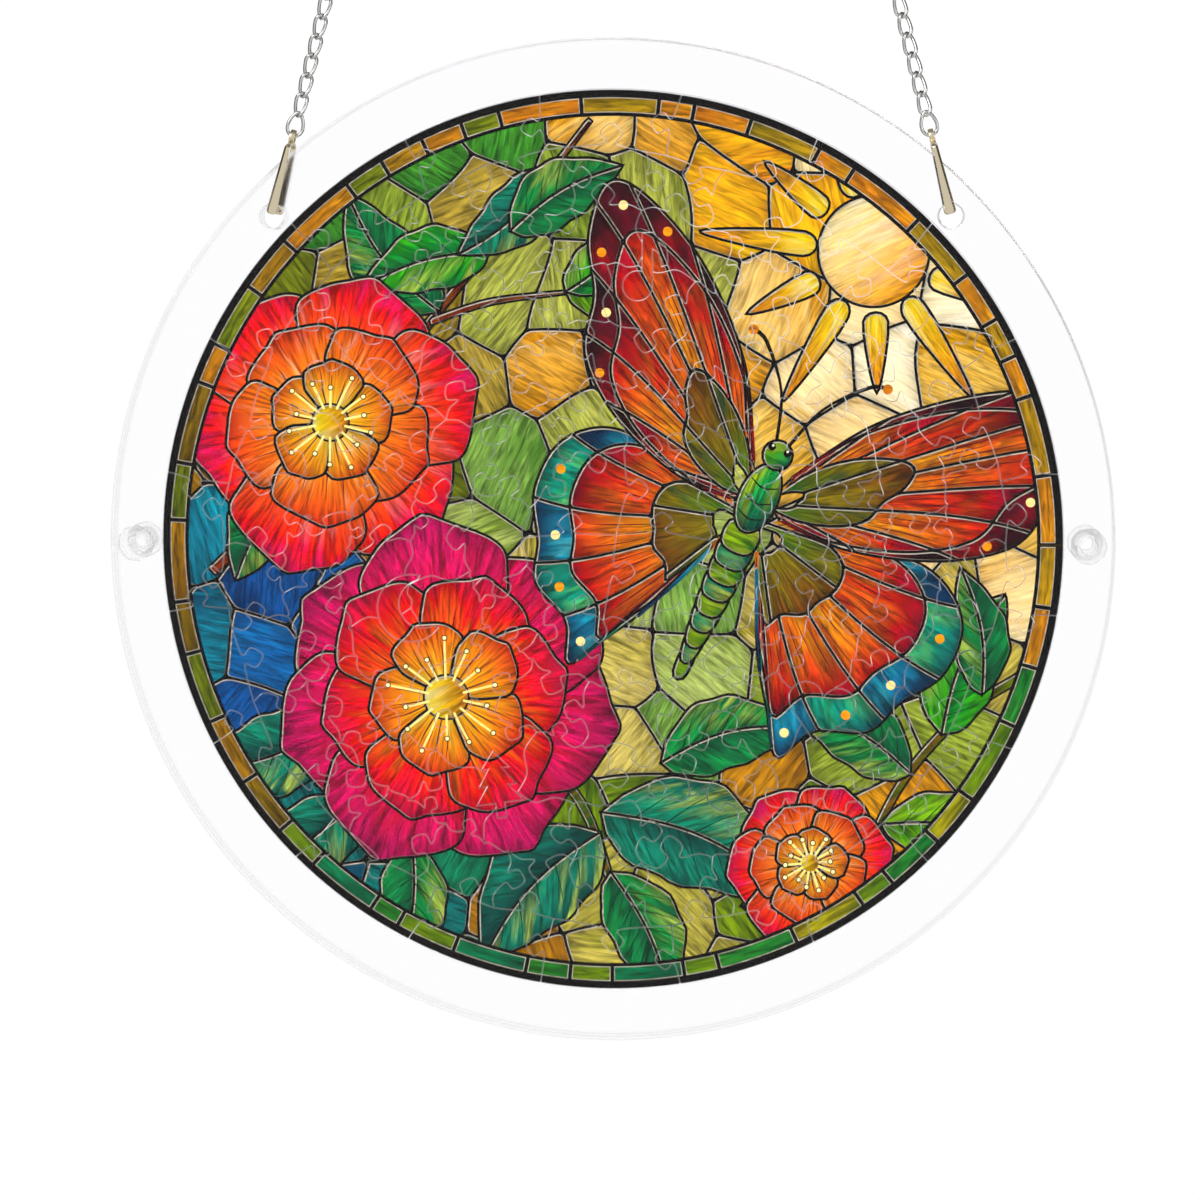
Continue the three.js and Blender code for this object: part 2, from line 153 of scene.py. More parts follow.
# %% Clear cast acrylic
def cast_acrylic(name, alpha, roughness, gloss):
    material, tree = new_material(name)
    shader = finish_material(tree, {
        "Base Color": linear("#f5f4f8"), "Roughness": roughness, "IOR": 1.49, "Transmission Weight": 1.0,
        "Specular IOR Level": gloss, "Alpha": alpha})
    if roughness:
        spot = add(tree, "ShaderNodeTexCoord")
        polish = add(tree, "ShaderNodeTexNoise", inputs={
            "Vector": spot.outputs["Object"], "Scale": 1 / (40 * MM), "Detail": 1.0})
        uneven = add(tree, "ShaderNodeMapRange", inputs={
            "Value": polish.outputs["Fac"], "To Min": roughness * 0.6, "To Max": roughness * 1.4})
        tree.links.new(uneven.outputs["Result"], shader.inputs["Roughness"])
    return material


acrylic_face = cast_acrylic("clear cast acrylic, polished face", 0.12, 0.0, 0.25)
acrylic_edge = cast_acrylic("clear cast acrylic, flame-polished edge", 0.34, 0.05, 0.4)
print("Made:", acrylic_face.name, "and", acrylic_edge.name)

# %% [markdown]
# The screws and nuts are moulded from clear polycarbonate. It bends light more than acrylic does, and
# its surface is a little duller, so that a head shows as a few soft grey rings against white. The panels'
# acrylic would do as well, but then the heads would be lost against the sheet. Their higher alpha and
# the noise in roughness and bump, which stands for the melt's flow, keep them in sight.

# %% Clear moulded plastic
def moulded_plastic():
    material, tree = new_material("clear polycarbonate, moulded")
    spot = add(tree, "ShaderNodeTexCoord")
    flow = add(tree, "ShaderNodeTexNoise", inputs={
        "Vector": spot.outputs["Object"], "Scale": 1 / (1.5 * MM), "Detail": 3.0})
    rough = add(tree, "ShaderNodeMapRange", inputs={
        "Value": flow.outputs["Fac"], "To Min": 0.03, "To Max": 0.12})
    bump = add(tree, "ShaderNodeBump", inputs={
        "Height": flow.outputs["Fac"], "Strength": 0.08, "Distance": 0.1 * MM})
    finish_material(tree, {
        "Base Color": linear("#fafbfb"), "Roughness": rough.outputs["Result"], "IOR": 1.58,
        "Transmission Weight": 1.0, "Alpha": 0.34, "Normal": bump.outputs["Normal"]})
    return material


plastic = moulded_plastic()
print("Made:", plastic.name)

# %% [markdown]
# The chain, rings and bails are steel wire and strip with a bright nickel plating. A plain grey metal
# would be even all over. Real plating isn't: the noise below varies its roughness over half a
# millimetre, and a faint bump follows it. The bails' plating is warmer, with a hint of pale gold, so
# one function with a colour and a roughness makes both.

# %% Nickel plating
def nickel_plating(name, colour, roughness):
    material, tree = new_material(name)
    spot = add(tree, "ShaderNodeTexCoord")
    grain = add(tree, "ShaderNodeTexNoise", inputs={
        "Vector": spot.outputs["Object"], "Scale": 1 / (0.5 * MM), "Detail": 2.0})
    rough = add(tree, "ShaderNodeMapRange", inputs={
        "Value": grain.outputs["Fac"], "To Min": roughness * 0.7, "To Max": roughness * 1.5})
    bump = add(tree, "ShaderNodeBump", inputs={
        "Height": grain.outputs["Fac"], "Strength": 0.08, "Distance": 0.05 * MM})
    finish_material(tree, {
        "Base Color": linear(colour), "Metallic": 1.0, "Roughness": rough.outputs["Result"],
        "Normal": bump.outputs["Normal"]})
    return material


chain_plating = nickel_plating("nickel plating on steel wire", "#bdbdbb", 0.16)
bail_plating = nickel_plating("pale gold nickel plating on steel strip", "#d3c7ab", 0.22)
print("Made:", chain_plating.name, "and", bail_plating.name)

# %% [markdown]
# The print is ink on the acrylic pieces. It could be an image, but this lesson draws it: each pane's
# colour is stored on the mesh as the attribute `tint` and a second colour as `streak`, which stay sharp
# at any distance. The UV map `grain` gives the streaks' direction, in
# millimetres along and across them. The shader stretches noise along it, as in streaky glass: broad
# swirls that bring in the second colour, darker and lighter streaks, and fine brush strokes. Each has
# its length and width in millimetres below. Pale glass is calmer than dark glass, so its streaks are
# faded out. Black lead lines stay black, because streaks only multiply the colour.

# %% Printed acrylic
SWIRL_SIZE = (14, 3)
STREAK_SIZE = (7, 0.8)
BRUSH_SIZE = (3, 0.3)


def stretched_noise(tree, grain, size, detail, distortion):
    """Noise whose patches have that length and width in millimetres."""
    spread = add(tree, "ShaderNodeMapping", inputs={
        "Vector": grain.outputs["UV"], "Scale": (1 / size[0], 1 / size[1], 1.0)})
    return add(tree, "ShaderNodeTexNoise", {"noise_dimensions": "2D"}, {
        "Vector": spread.outputs["Vector"], "Scale": 1.0, "Detail": detail, "Distortion": distortion})


def printed_acrylic():
    material, tree = new_material("acrylic, printed with gloss ink")
    tint = add(tree, "ShaderNodeAttribute", {"attribute_name": "tint"})
    second = add(tree, "ShaderNodeAttribute", {"attribute_name": "streak"})
    grain = add(tree, "ShaderNodeUVMap", {"uv_map": "grain"})
    swirls = stretched_noise(tree, grain, SWIRL_SIZE, 3.0, 0.8)
    streaks = stretched_noise(tree, grain, STREAK_SIZE, 3.0, 0.6)
    strokes = stretched_noise(tree, grain, BRUSH_SIZE, 2.0, 1.0)
    share = add(tree, "ShaderNodeMapRange", inputs={
        "Value": swirls.outputs["Fac"], "From Min": 0.42, "From Max": 0.68, "To Max": 0.85})
    colour = add(tree, "ShaderNodeMix", {"data_type": "RGBA"}, {
        "Factor": share.outputs["Result"], 6: tint.outputs["Color"], 7: second.outputs["Color"]})
    value = add(tree, "ShaderNodeMapRange", inputs={
        "Value": streaks.outputs["Fac"], "From Min": 0.3, "From Max": 0.7, "To Min": 0.34, "To Max": 1.4})
    touch = add(tree, "ShaderNodeMapRange", inputs={
        "Value": strokes.outputs["Fac"], "From Min": 0.3, "From Max": 0.7, "To Min": 0.74, "To Max": 1.22})
    both = add(tree, "ShaderNodeMath", {"operation": "MULTIPLY"}, {
        0: value.outputs["Result"], 1: touch.outputs["Result"]})
    paleness = add(tree, "ShaderNodeRGBToBW", inputs={"Color": colour.outputs[2]})
    calm = add(tree, "ShaderNodeMapRange", inputs={
        "Value": paleness.outputs["Val"], "From Min": 0.3, "From Max": 0.75, "To Max": 0.75})
    streaking = add(tree, "ShaderNodeMix", {"data_type": "FLOAT"}, {
        "Factor": calm.outputs["Result"], 2: both.outputs["Value"], 3: 1.08})
    streaked = add(tree, "ShaderNodeHueSaturation", inputs={
        "Saturation": 1.16, "Value": streaking.outputs[0], "Color": colour.outputs[2]})
    finish_material(tree, {
        "Base Color": streaked.outputs["Color"], "Roughness": 0.3, "IOR": 1.49, "Specular IOR Level": 0.1})
    return material


print_finish = printed_acrylic()
print("Made:", print_finish.name)

# %% [markdown]
# The laser leaves the pieces' cut sides bare: clear acrylic with a faint matt ripple from the beam,
# about four waves to the millimetre. Against the dark print it shows as a pale line. Clear walls a
# tenth of a millimetre apart would cost many bounces, so they are solid here, with the print's colour
# beside them made a little whiter. That whitening is painted light, standing in for the white that a
# clear side would let through; the ripple noise says how much of it each spot gets.

# %% Laser-cut sides
def laser_cut_sides():
    material, tree = new_material("acrylic, laser-cut side")
    spot = add(tree, "ShaderNodeTexCoord")
    beam = add(tree, "ShaderNodeTexNoise", inputs={
        "Vector": spot.outputs["Object"], "Scale": 1 / (0.25 * MM), "Detail": 2.0})
    ripple_and_painted_light = add(tree, "ShaderNodeMapRange", inputs={
        "Value": beam.outputs["Fac"], "To Min": 0.03, "To Max": 0.24})
    tint = add(tree, "ShaderNodeAttribute", {"attribute_name": "tint"})
    # Painted light: the print's tint is whitened where the ripple noise says, for the white a clear side
    # would let through.
    shade = add(tree, "ShaderNodeMix", {"data_type": "RGBA"}, {
        "Factor": ripple_and_painted_light.outputs["Result"], 6: tint.outputs["Color"], 7: linear("#ffffff")})
    bump = add(tree, "ShaderNodeBump", inputs={
        "Height": beam.outputs["Fac"], "Strength": 0.3, "Distance": 0.05 * MM})
    finish_material(tree, {
        "Base Color": shade.outputs[2], "Roughness": 0.35, "IOR": 1.49, "Specular IOR Level": 0.2,
        "Normal": bump.outputs["Normal"]})
    return material


side_finish = laser_cut_sides()
print("Made:", side_finish.name)

# %% [markdown]
# ## Meshes from outlines
#
# Most pieces are flat shapes with a thickness. Their faces come from a constrained Delaunay
# triangulation, which takes many overlapping outlines at once and keeps to all their edges. A test of
# each small triangle's middle then says which outlines it lies in. Boolean modifiers would do for a
# few holes, but not for thousands of panes and cuts. The same two functions later lay the picture over
# the puzzle's cuts.

# %% Outline helpers
def signed_area(points):
    pairs = zip(points, points[1:] + points[:1])
    return sum(a[0] * b[1] - b[0] * a[1] for a, b in pairs) / 2


def inset(points, distance):
    """The outline moved inwards, or outwards where distance is negative. It comes back anticlockwise."""
    outline = points if signed_area(points) > 0 else points[::-1]
    ring = np.array(outline)
    into = ring - np.roll(ring, 1, axis=0)
    into /= np.maximum(np.linalg.norm(into, axis=1, keepdims=True), 1e-9)
    out = np.roll(into, -1, axis=0)
    normal = np.stack([-into[:, 1] - out[:, 1], into[:, 0] + out[:, 0]], axis=1)
    normal /= np.maximum(np.linalg.norm(normal, axis=1, keepdims=True), 1e-9)
    spread = np.maximum(0.5, normal[:, 1] * into[:, 0] - normal[:, 0] * into[:, 1])
    moved = ring + normal * distance / spread[:, None]
    return [tuple(point) for point in moved]


def smooth(points, steps=5, closed=True):
    """A Catmull-Rom curve through the points."""
    count = len(points)
    curve = []
    for i in range(count if closed else count - 1):
        p = [points[(i + k) % count] if closed else points[min(max(i + k, 0), count - 1)]
             for k in (-1, 0, 1, 2)]
        for step in range(steps):
            t = step / steps
            weights = (-t + 2 * t * t - t ** 3, 2 - 5 * t * t + 3 * t ** 3,
                       t + 4 * t * t - 3 * t ** 3, t ** 3 - t * t)
            curve.append(tuple(sum(w * q[axis] for w, q in zip(weights, p)) / 2 for axis in (0, 1)))
    if not closed:
        curve.append(tuple(points[-1]))
    return curve


sample = circle(10, 90)
print("A circle of", round(signed_area(sample)), "square mm, inset by 1 mm, has",
      round(signed_area(inset(sample, 1))), "square mm")


# %% Triangles from outlines
def joined(outlines):
    """All points of the outlines in one list, and the edges between them."""
    points = []
    edges = []
    for outline in outlines:
        start, count = len(points), len(outline)
        points.extend(outline)
        edges.extend((start + i, start + (i + 1) % count) for i in range(count))
    return points, edges


def triangulate(points, edges):
    """Points and triangles that keep to every edge."""
    result = delaunay_2d_cdt([Vector(point) for point in points], edges, [], 0, 1e-5)
    return np.array([tuple(point) for point in result[0]]), np.array(result[2])


def cover_test(spots):
    """A function that says which spots lie inside an outline, by how often a line to the right of
    each spot crosses it. The spots are sorted by height once, so that each test looks at few of them."""
    order = np.argsort(spots[:, 1])
    xs, ys = spots[order].T

    def covered(outline):
        ring = np.array(outline)
        low, high = ring.min(axis=0), ring.max(axis=0)
        first, last = np.searchsorted(ys, (low[1], high[1]))
        near = first + np.nonzero((xs[first:last] > low[0]) & (xs[first:last] < high[0]))[0]
        x, y = xs[near], ys[near]
        odd = np.zeros(len(near), dtype=bool)
        for (ax, ay), (bx, by) in zip(ring.tolist(), np.roll(ring, -1, axis=0).tolist()):
            if ay != by:
                start, end = np.searchsorted(y, (min(ay, by), max(ay, by)))
                crossing = ax + (y[start:end] - ay) * ((bx - ax) / (by - ay))
                odd[start:end] ^= x[start:end] < crossing
        return order[near[odd]]
    return covered


corners, edges = joined([circle(10, 90), circle(4, 30)])
print(len(corners), "points of two circles make", len(triangulate(corners, edges)[1]), "triangles")


# %% Pieces from meshes
def mesh_object(name, vertices, faces, materials, smooth_angle=35):
    mesh = bpy.data.meshes.new(name)
    mesh.from_pydata([tuple(v) for v in vertices], [], [tuple(f) for f in faces])
    for material in materials:
        mesh.materials.append(material)
    mesh.polygons.foreach_set("use_smooth", [True] * len(mesh.polygons))
    mesh.set_sharp_from_angle(angle=math.radians(smooth_angle))
    mesh.validate()
    piece = bpy.data.objects.new(name, mesh)
    bpy.context.scene.collection.objects.link(piece)
    return piece


def attach(piece, slot, *replaced):
    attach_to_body(piece, "root")
    if replaced:
        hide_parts(*replaced)
    print(piece.name, "has", len(piece.data.polygons), "faces")


# %% [markdown]
# A slab is an outline with holes, extruded, and with its edges broken by a small chamfer. Polished
# acrylic catches the light on exactly that edge, so the chamfer matters more than its size suggests.
# A Bevel modifier could add it, but here the flat faces and the edges get materials of their own, so
# the slab is built ring by ring and its flat faces come last. The helper that joins rings with quads
# serves for screws, wire and strip as well.

# %% Chamfered slabs
def bands(rows, count, closed=False, start=0):
    """Quads between neighbouring rows of count vertices each. Each row closes on itself."""
    quads = []
    for row in range(rows if closed else rows - 1):
        here, there = start + row * count, start + (row + 1) % rows * count
        for i in range(count):
            j = (i + 1) % count
            quads.append((here + i, there + i, there + j, here + j))
    return quads


def slab(outer, holes, near, far, chamfer):
    """Vertices, faces and the number of flat faces, which come last, of a plate from far to near."""
    def key(x, y):
        return (round(x, 3), round(y, 3))

    caps = [inset(outer, chamfer)] + [inset(hole, -chamfer) for hole in holes]
    walls = [inset(outer, 0)] + [inset(hole, 0) for hole in holes]
    vertices = []
    faces = []
    lookup = {}
    for number, (cap, wall) in enumerate(zip(caps, walls)):
        start, count = len(vertices), len(cap)
        for loop, depth in ((cap, near), (wall, near - chamfer), (wall, far + chamfer), (cap, far)):
            vertices.extend(at(x, y, depth) for x, y in loop)
        quads = bands(4, count, start=start)
        faces += [quad[::-1] for quad in quads] if number else quads
        lookup.update({key(*spot): (start + i, start + 3 * count + i) for i, spot in enumerate(cap)})
    points, triangles = triangulate(*joined(caps))
    covered = cover_test(points[triangles].mean(axis=1))
    solid = np.zeros(len(triangles), dtype=bool)
    solid[covered(caps[0])] = True
    for hole in caps[1:]:
        solid[covered(hole)] = False
    for triangle in triangles[solid]:
        corners = [lookup[key(*points[vertex])] for vertex in triangle]
        faces.append(tuple(near_index for near_index, _ in corners))
        faces.append(tuple(far_index for _, far_index in reversed(corners)))
    return vertices, faces, 2 * int(solid.sum())


# %% [markdown]
# ## Camera, floor and light
#
# The photograph looks at the disc almost square on, from a little above and to the right. A flat,
# orthographic view would be close to it, but a long lens at 0.8 m also gives its slight parallax. One
# pixel of the square photograph is 0.2012 mm at the disc, which says where the camera aims.

# %% Camera
LENS = 120
SENSOR_WIDTH = 36
DISTANCE = 0.8
YAW = 3
PITCH = 5
PHOTO_SCALE = 0.2012
PUZZLE_CENTRE_PX = (610.8, 543.0)
IMAGE_MIDDLE_PX = 600
target = at((IMAGE_MIDDLE_PX - PUZZLE_CENTRE_PX[0]) * PHOTO_SCALE,
            (PUZZLE_CENTRE_PX[1] - IMAGE_MIDDLE_PX) * PHOTO_SCALE)
yaw, pitch = math.radians(YAW), math.radians(PITCH)
camera_data = bpy.data.cameras.new("camera")
camera_data.lens = LENS
camera_data.sensor_width = SENSOR_WIDTH
camera_data.clip_start = 0.01
camera = bpy.data.objects.new("camera", camera_data)
bpy.context.scene.collection.objects.link(camera)
view_line = Vector((math.sin(yaw) * math.cos(pitch), -math.cos(yaw) * math.cos(pitch), math.sin(pitch)))
camera.location = target + DISTANCE * view_line
camera.rotation_euler = (-view_line).to_track_quat("-Z", "Y").to_euler()
bpy.context.scene.camera = camera
print("Camera at", [round(c, 3) for c in camera.location])

# %% [markdown]
# A thing that hangs needs no floor to stand on, but a studio has one, and it throws soft light up. It is
# plain and pale, and lies well below the suncatcher.

# %% Floor
FLOOR_DROP = 0.9
FLOOR_SIZE = 2.6
floor_low = DISC_HEIGHT - FLOOR_DROP
half = FLOOR_SIZE / 2
floor_material, floor_tree = new_material("pale matt floor")
finish_material(floor_tree, {"Base Color": linear("#f4f4f2"), "Roughness": 0.9})
floor = mesh_object("floor", [(-half, -half, floor_low), (half, -half, floor_low), (half, half, floor_low),
                              (-half, half, floor_low)], [(0, 1, 2, 3)], [floor_material])
print("Floor at", round(floor_low, 3), "m")

# %% [markdown]
# Clear things are lit best by white all round them. An evenly white world would be the simplest, but
# plated wire that mirrors nothing but white can't be told from it. So the world is white for what is
# seen, what shines through and what falls on matt surfaces. What glossy surfaces mirror is bright in
# front, grey further round and nearly black at the sides, like a studio with dark flags, and plated
# wire gets its dark edges from that. Two soft area lights add a direction.

# %% World and lights
WHITE_LEVEL = 1.02
MIRRORED_SHADES = ((0, 0.9), (0.16, 0.85), (0.34, 0.42), (0.5, 0.05), (0.72, 0.08), (1, 0.75))
world = bpy.data.worlds.new("white studio")
bpy.context.scene.world = world
world.use_nodes = True
sky = world.node_tree
sky.nodes.clear()
direction = add(sky, "ShaderNodeTexCoord")
split = add(sky, "ShaderNodeSeparateXYZ", inputs={"Vector": direction.outputs["Generated"]})
bearing = add(sky, "ShaderNodeMapRange", inputs={
    "Value": split.outputs["Y"], "From Min": -1.0, "From Max": 1.0})
mirrored = add(sky, "ShaderNodeValToRGB", inputs={"Fac": bearing.outputs["Result"]})
shades = mirrored.color_ramp.elements
for place, shade in MIRRORED_SHADES[1:-1]:
    shades.new(place).color = (shade, shade, shade, 1)
for end in (0, -1):
    shade = MIRRORED_SHADES[end][1]
    shades[end].color = (shade, shade, shade, 1)
rays = add(sky, "ShaderNodeLightPath")
white = rays.outputs["Is Camera Ray"]
for kind in ("Is Transmission Ray", "Is Diffuse Ray"):
    either = add(sky, "ShaderNodeMath", {"operation": "MAXIMUM"}, {0: white, 1: rays.outputs[kind]})
    white = either.outputs["Value"]
glow = add(sky, "ShaderNodeMix", {"data_type": "FLOAT"}, {
    "Factor": white, 2: mirrored.outputs["Color"], 3: WHITE_LEVEL})
background = add(sky, "ShaderNodeBackground", inputs={
    "Color": (1.0, 1.0, 1.0, 1.0), "Strength": glow.outputs[0]})
add(sky, "ShaderNodeOutputWorld", inputs={"Surface": background.outputs["Background"]})


def area_light(name, offset, size, watts):
    data = bpy.data.lights.new(name, "AREA")
    data.shape = "RECTANGLE"
    data.size, data.size_y = size
    data.energy = watts
    light = bpy.data.objects.new(name, data)
    light.location = at(0, 0) + Vector(offset)
    light.rotation_euler = (-Vector(offset)).to_track_quat("-Z", "Y").to_euler()
    bpy.context.scene.collection.objects.link(light)


area_light("large soft light, upper left", (-0.9, -1.1, 0.9), (1.0, 0.8), 11)
area_light("soft fill, right", (1.2, -0.8, 0.2), (0.7, 1.0), 5)
bpy.context.scene.view_settings.view_transform = "Standard"

# %% [markdown]
# ## The puzzle's cuts
#
# The pieces lie in rings, and slow waves push the cuts off their circles, so that no two pieces are
# alike. A grid would be simpler, but leaves odd scraps along a round edge. Each cut between two
# junctions carries one knob. The rules are those of the part's own source, which has the outer ring and
# the figure pieces as solids. Here the same corner points are joined by a smooth curve, and the inner
# rings are cut as well.

# %% Rules of the cut pattern
RING_DEPTH = 12
RING_COUNTS = (20, 30, 24, 20, 15, 10, 4)
RING_PHASES = (0.5, 0.0, 0.5, 0.0, 0.0, 0.5, 0.0)
KNOB_RADIUS = 2.2
KNOB_SHAPE = ((-0.55, 0.35), (-1, 1.3), (0, 2.2), (1, 1.3), (0.55, 0.35))
WAVE = 0.075  # of a cut's length, on the inner rings
DRIFT = 2
LONG_WAVE = 18
SHORT_WAVE = 8.5
FIGURE_SIZE = 13.5
CUT_RADIUS = DISC_RADIUS - RIM_WIDTH - GAP + KERF / 2


def drifted(x, y):
    fade = 1 - min(1, math.hypot(x, y) / CUT_RADIUS) ** 4
    dx = math.sin(y / LONG_WAVE + 0.6) + 0.4 * math.sin((x + y) / SHORT_WAVE)
    dy = math.sin(x / LONG_WAVE + 2.1) + 0.4 * math.sin((x - y) / SHORT_WAVE)
    return (x + DRIFT * fade * dx, y + DRIFT * fade * dy)


def ring_angles():
    """Each ring's cut angles. A cut that comes within a sixth of its step to one of the ring outside
    is moved to meet it."""
    rings = []
    for count, phase in zip(RING_COUNTS, RING_PHASES):
        angles = [360 * (i + phase) / count for i in range(count)]
        outside = rings[-1] if rings else []
        rings.append([next((o for o in outside if abs(o - a) < 60 / count), a) for a in angles])
    return rings


def circle_radius(ring):
    return CUT_RADIUS - ring * RING_DEPTH


print("Puzzle pieces before the figures are cut in:", sum(RING_COUNTS))

# %% [markdown]
# Seven pieces are cut as little figures, each set on a junction, so that the cuts around it end at
# its outline. Traced outlines would need long lists. Formulas and a few points, with a half-size of
# one, give shapes that a laser could cut as well.

# %% Figure pieces
def lobes(count, samples, base, swing, lift):
    points = []
    for i in range(samples):
        angle = 2 * math.pi * i / samples + math.pi / 2
        radius = (base + swing * math.cos(count * (angle - math.pi / 2))) * (1 + lift * math.sin(angle))
        points.append((radius * math.cos(angle), radius * math.sin(angle)))
    return points


def arc(radius, start, end, steps, x=0.0, y=0.0):
    points = (polar(radius, start + (end - start) * i / steps) for i in range(steps + 1))
    return [(x + px, y + py) for px, py in points]


def heart():
    points = []
    for i in range(48):
        t = 2 * math.pi * i / 48
        y = 13 * math.cos(t) - 5 * math.cos(2 * t) - 2 * math.cos(3 * t) - math.cos(4 * t)
        points.append((math.sin(t) ** 3, (y + 2.5) / 16))
    return points


def pine():
    right = [(0, 1)]
    for tier in (1, 2, 3):
        right.append((0.28 + 0.14 * tier, 1 - 0.52 * tier))
        if tier < 3:
            right.append((0.08 + 0.12 * tier, 1 - 0.52 * tier))
    right += [(0.14, -0.56), (0.14, -1)]
    return right + [(-x, y) for x, y in reversed(right[1:])]


def note():
    head = arc(0.44, 72, 360, 21, -0.22, -0.56)
    flag = smooth([(0.22, 0.52), (0.42, 0.35), (0.48, 0)], 4, False)
    flag += smooth([(0.66, 0.05), (0.62, 0.55), (0.22, 1)], 4, False)
    return head + flag + [(-0.08, 1)]


# Each figure has a name, a shape, its ring, its place in degrees and its own turn.
FIGURES = (
    ("crescent_piece", arc(1, 55, 305, 30) + arc(0.72, 275, 85, 21, 0.38), 4, 198, 20),
    ("heart_piece", heart(), 3, 322.5, -12),
    ("tree_piece", pine(), 3, 247.5, 8),
    ("note_piece", note(), 3, 82.5, 0),
    ("clover_piece", smooth(lobes(4, 16, 0.66, 0.34, 0), 4), 5, 24, 30),
    ("butterfly_piece", smooth(lobes(4, 16, 0.66, -0.34, 0.2), 4), 3, 142.5, 9),
    ("leaf_piece", smooth(lobes(5, 20, 0.68, 0.32, 0), 4), 3, 37.5, -20),
)


def figure_middle(ring, degrees):
    return drifted(*polar(circle_radius(ring), degrees))


def figure_outline(shape, ring, degrees, turn):
    middle_x, middle_y = figure_middle(ring, degrees)
    size = FIGURE_SIZE / 2
    return [(middle_x + size * x, middle_y + size * y) for x, y in (turned(*spot, turn) for spot in shape)]


figure_middles = [figure_middle(ring, degrees) for _, _, ring, degrees, _ in FIGURES]
print("Figure pieces:", [name for name, *_ in FIGURES])

# %% [markdown]
# A real puzzle's cut is a line with one round knob, which locks two pieces. Here each cut is drawn
# straight first, as a few points along it and beside it, and then laid on its circle or radius. The
# same points serve both its pieces, so they fit. Near a figure a cut goes without its knob, because
# the figure's own outline holds the pieces there.

# %% One cut
KNOB_SHARE = 0.17  # of a cut's length, for a knob on a short cut
KNOB_PLAY = 0.05  # of a cut's length, either way along it
FIGURE_CLEARANCE = 0.5


def knob_points(length, seed):
    if length < 3 * KNOB_RADIUS:
        return []
    radius = min(KNOB_RADIUS, length * KNOB_SHARE)
    side = 1 if (seed * seed * 3 + seed * 5) % 4 < 2 else -1
    middle = length * (0.5 + KNOB_PLAY * (seed % 3 - 1))
    return [(middle + along * radius, side * across * radius) for along, across in KNOB_SHAPE]


def cut_line(place, length, seed, wave=0.0):
    """A smooth cut of that length, from its first junction to its last one, in waves where asked."""
    sway = wave * length * (1 if seed % 2 else -1)
    knob = knob_points(length, seed)
    line = [(0, 0), (0.2 * length, sway), *knob, (0.82 * length, -sway), (length, 0)]
    line = [place(*point) for point in (line if wave else [line[0], *knob, line[-1]])]
    clear = FIGURE_SIZE / 2 + FIGURE_CLEARANCE
    if any(math.dist(point, middle) < clear for point in line for middle in figure_middles):
        line = [place(length * i / 3, sway * (0, 1, -1, 0)[i]) for i in range(4)]
    return smooth(line, 5, False)


def radial_cut(ring, angle, seed):
    def place(run, offset):
        radius = circle_radius(ring) - run
        return drifted(*polar(radius, angle + math.degrees(offset / radius)))
    return cut_line(place, RING_DEPTH, seed, WAVE if ring else 0)


def arc_cut(ring, start, end, seed):
    radius = circle_radius(ring)

    def place(run, offset):
        return drifted(*polar(radius + offset, start + math.degrees(run / radius)))
    return cut_line(place, math.radians(end - start) * radius, seed, WAVE if ring > 1 else 0)


def centre_cut(angle, seed):
    """A cut from the innermost circle to just before the middle."""
    radius = circle_radius(len(RING_COUNTS) - 1)

    def place(run, offset):
        x, y = polar(radius - run, angle)
        side_x, side_y = polar(offset, angle + 90)
        return drifted(x + side_x, y + side_y)
    return cut_line(place, radius, 5 + seed % RING_COUNTS[-1])[:-1]


print("A cut of", RING_DEPTH, "mm has", len(radial_cut(1, 0, 1)), "points")

# %% [markdown]
# A cell of the pattern is walked round along its four sides. One list of all cuts, searched for closed
# loops, would find the cells too. It is simpler to keep each circle's cuts by the angle where they
# start, and to follow them from one side of a cell to the other.

# %% Cells between the cuts
def circle_cuts(ring, rings):
    """The cuts along one circle, by the angle of the junction where each starts."""
    angles = sorted(set(rings[ring - 1]) | set(rings[ring]))
    cuts = {}
    for i, start in enumerate(angles):
        end = angles[(i + 1) % len(angles)]
        cuts[start] = (end, arc_cut(ring, start, end if end > start else end + 360, i + 7 * (ring - 1)))
    return cuts


def along_circle(cuts, start, end):
    points = []
    angle = start
    while True:
        angle, cut = cuts[angle]
        points += cut[:-1]
        if angle == end:
            return points


def puzzle_cells():
    """The outlines of each ring's pieces. Each goes along the outer cuts and back along the inner ones."""
    rings = ring_angles()
    circles = {ring: circle_cuts(ring, rings) for ring in range(1, len(rings))}
    cells = []
    for ring, angles in enumerate(rings):
        last = ring == len(rings) - 1
        radials = {angle: radial_cut(ring, angle, i + 11 * ring) for i, angle in enumerate(angles)}
        outlines = []
        for i, start in enumerate(angles):
            end = angles[(i + 1) % len(angles)]
            if ring == 0:
                outer = arc(CUT_RADIUS, start, start + (end - start) % 360, 16)[:-1]
            else:
                outer = along_circle(circles[ring], start, end)
            if last:
                middle = [drifted(0, 0)]
                outlines.append(outer + centre_cut(end, i + 1) + middle + centre_cut(start, i)[:0:-1])
                continue
            inner = along_circle(circles[ring + 1], start, end)
            inner_end = [radials[end][-1]]
            outlines.append(outer + radials[end][:-1] + inner_end + inner[:0:-1] + radials[start][:0:-1])
        cells.append(outlines)
    return cells


cells = puzzle_cells()
print("Cells in each ring:", [len(ring) for ring in cells])

# %% [markdown]
# ## The picture
#
# The print is a stained-glass picture of this lesson's own: a butterfly over open blossoms, with
# leaves, a low sun and water. It is painted from back to front, as panes. The panes could be kept from
# overlapping, as real glass is, but the painter's way needs no fitting: what comes later hides what
# is under it. Each pane is three outlines inside one another: a black lead line, a thin light line
# beside it, and the glass. The light line is thicker on its upper left, as if the lead stood proud.

# %% Panes
LEAD = 0.27
SHEEN = 0.13
SHEEN_SHIFT = 0.7 * SHEEN
LONGEST_SKIP = 16
BLACK = "#080605"
SHEEN_GREY = "#b5ada0"
shapes = []


def rgb(code):
    return np.array(linear(code)[:3])


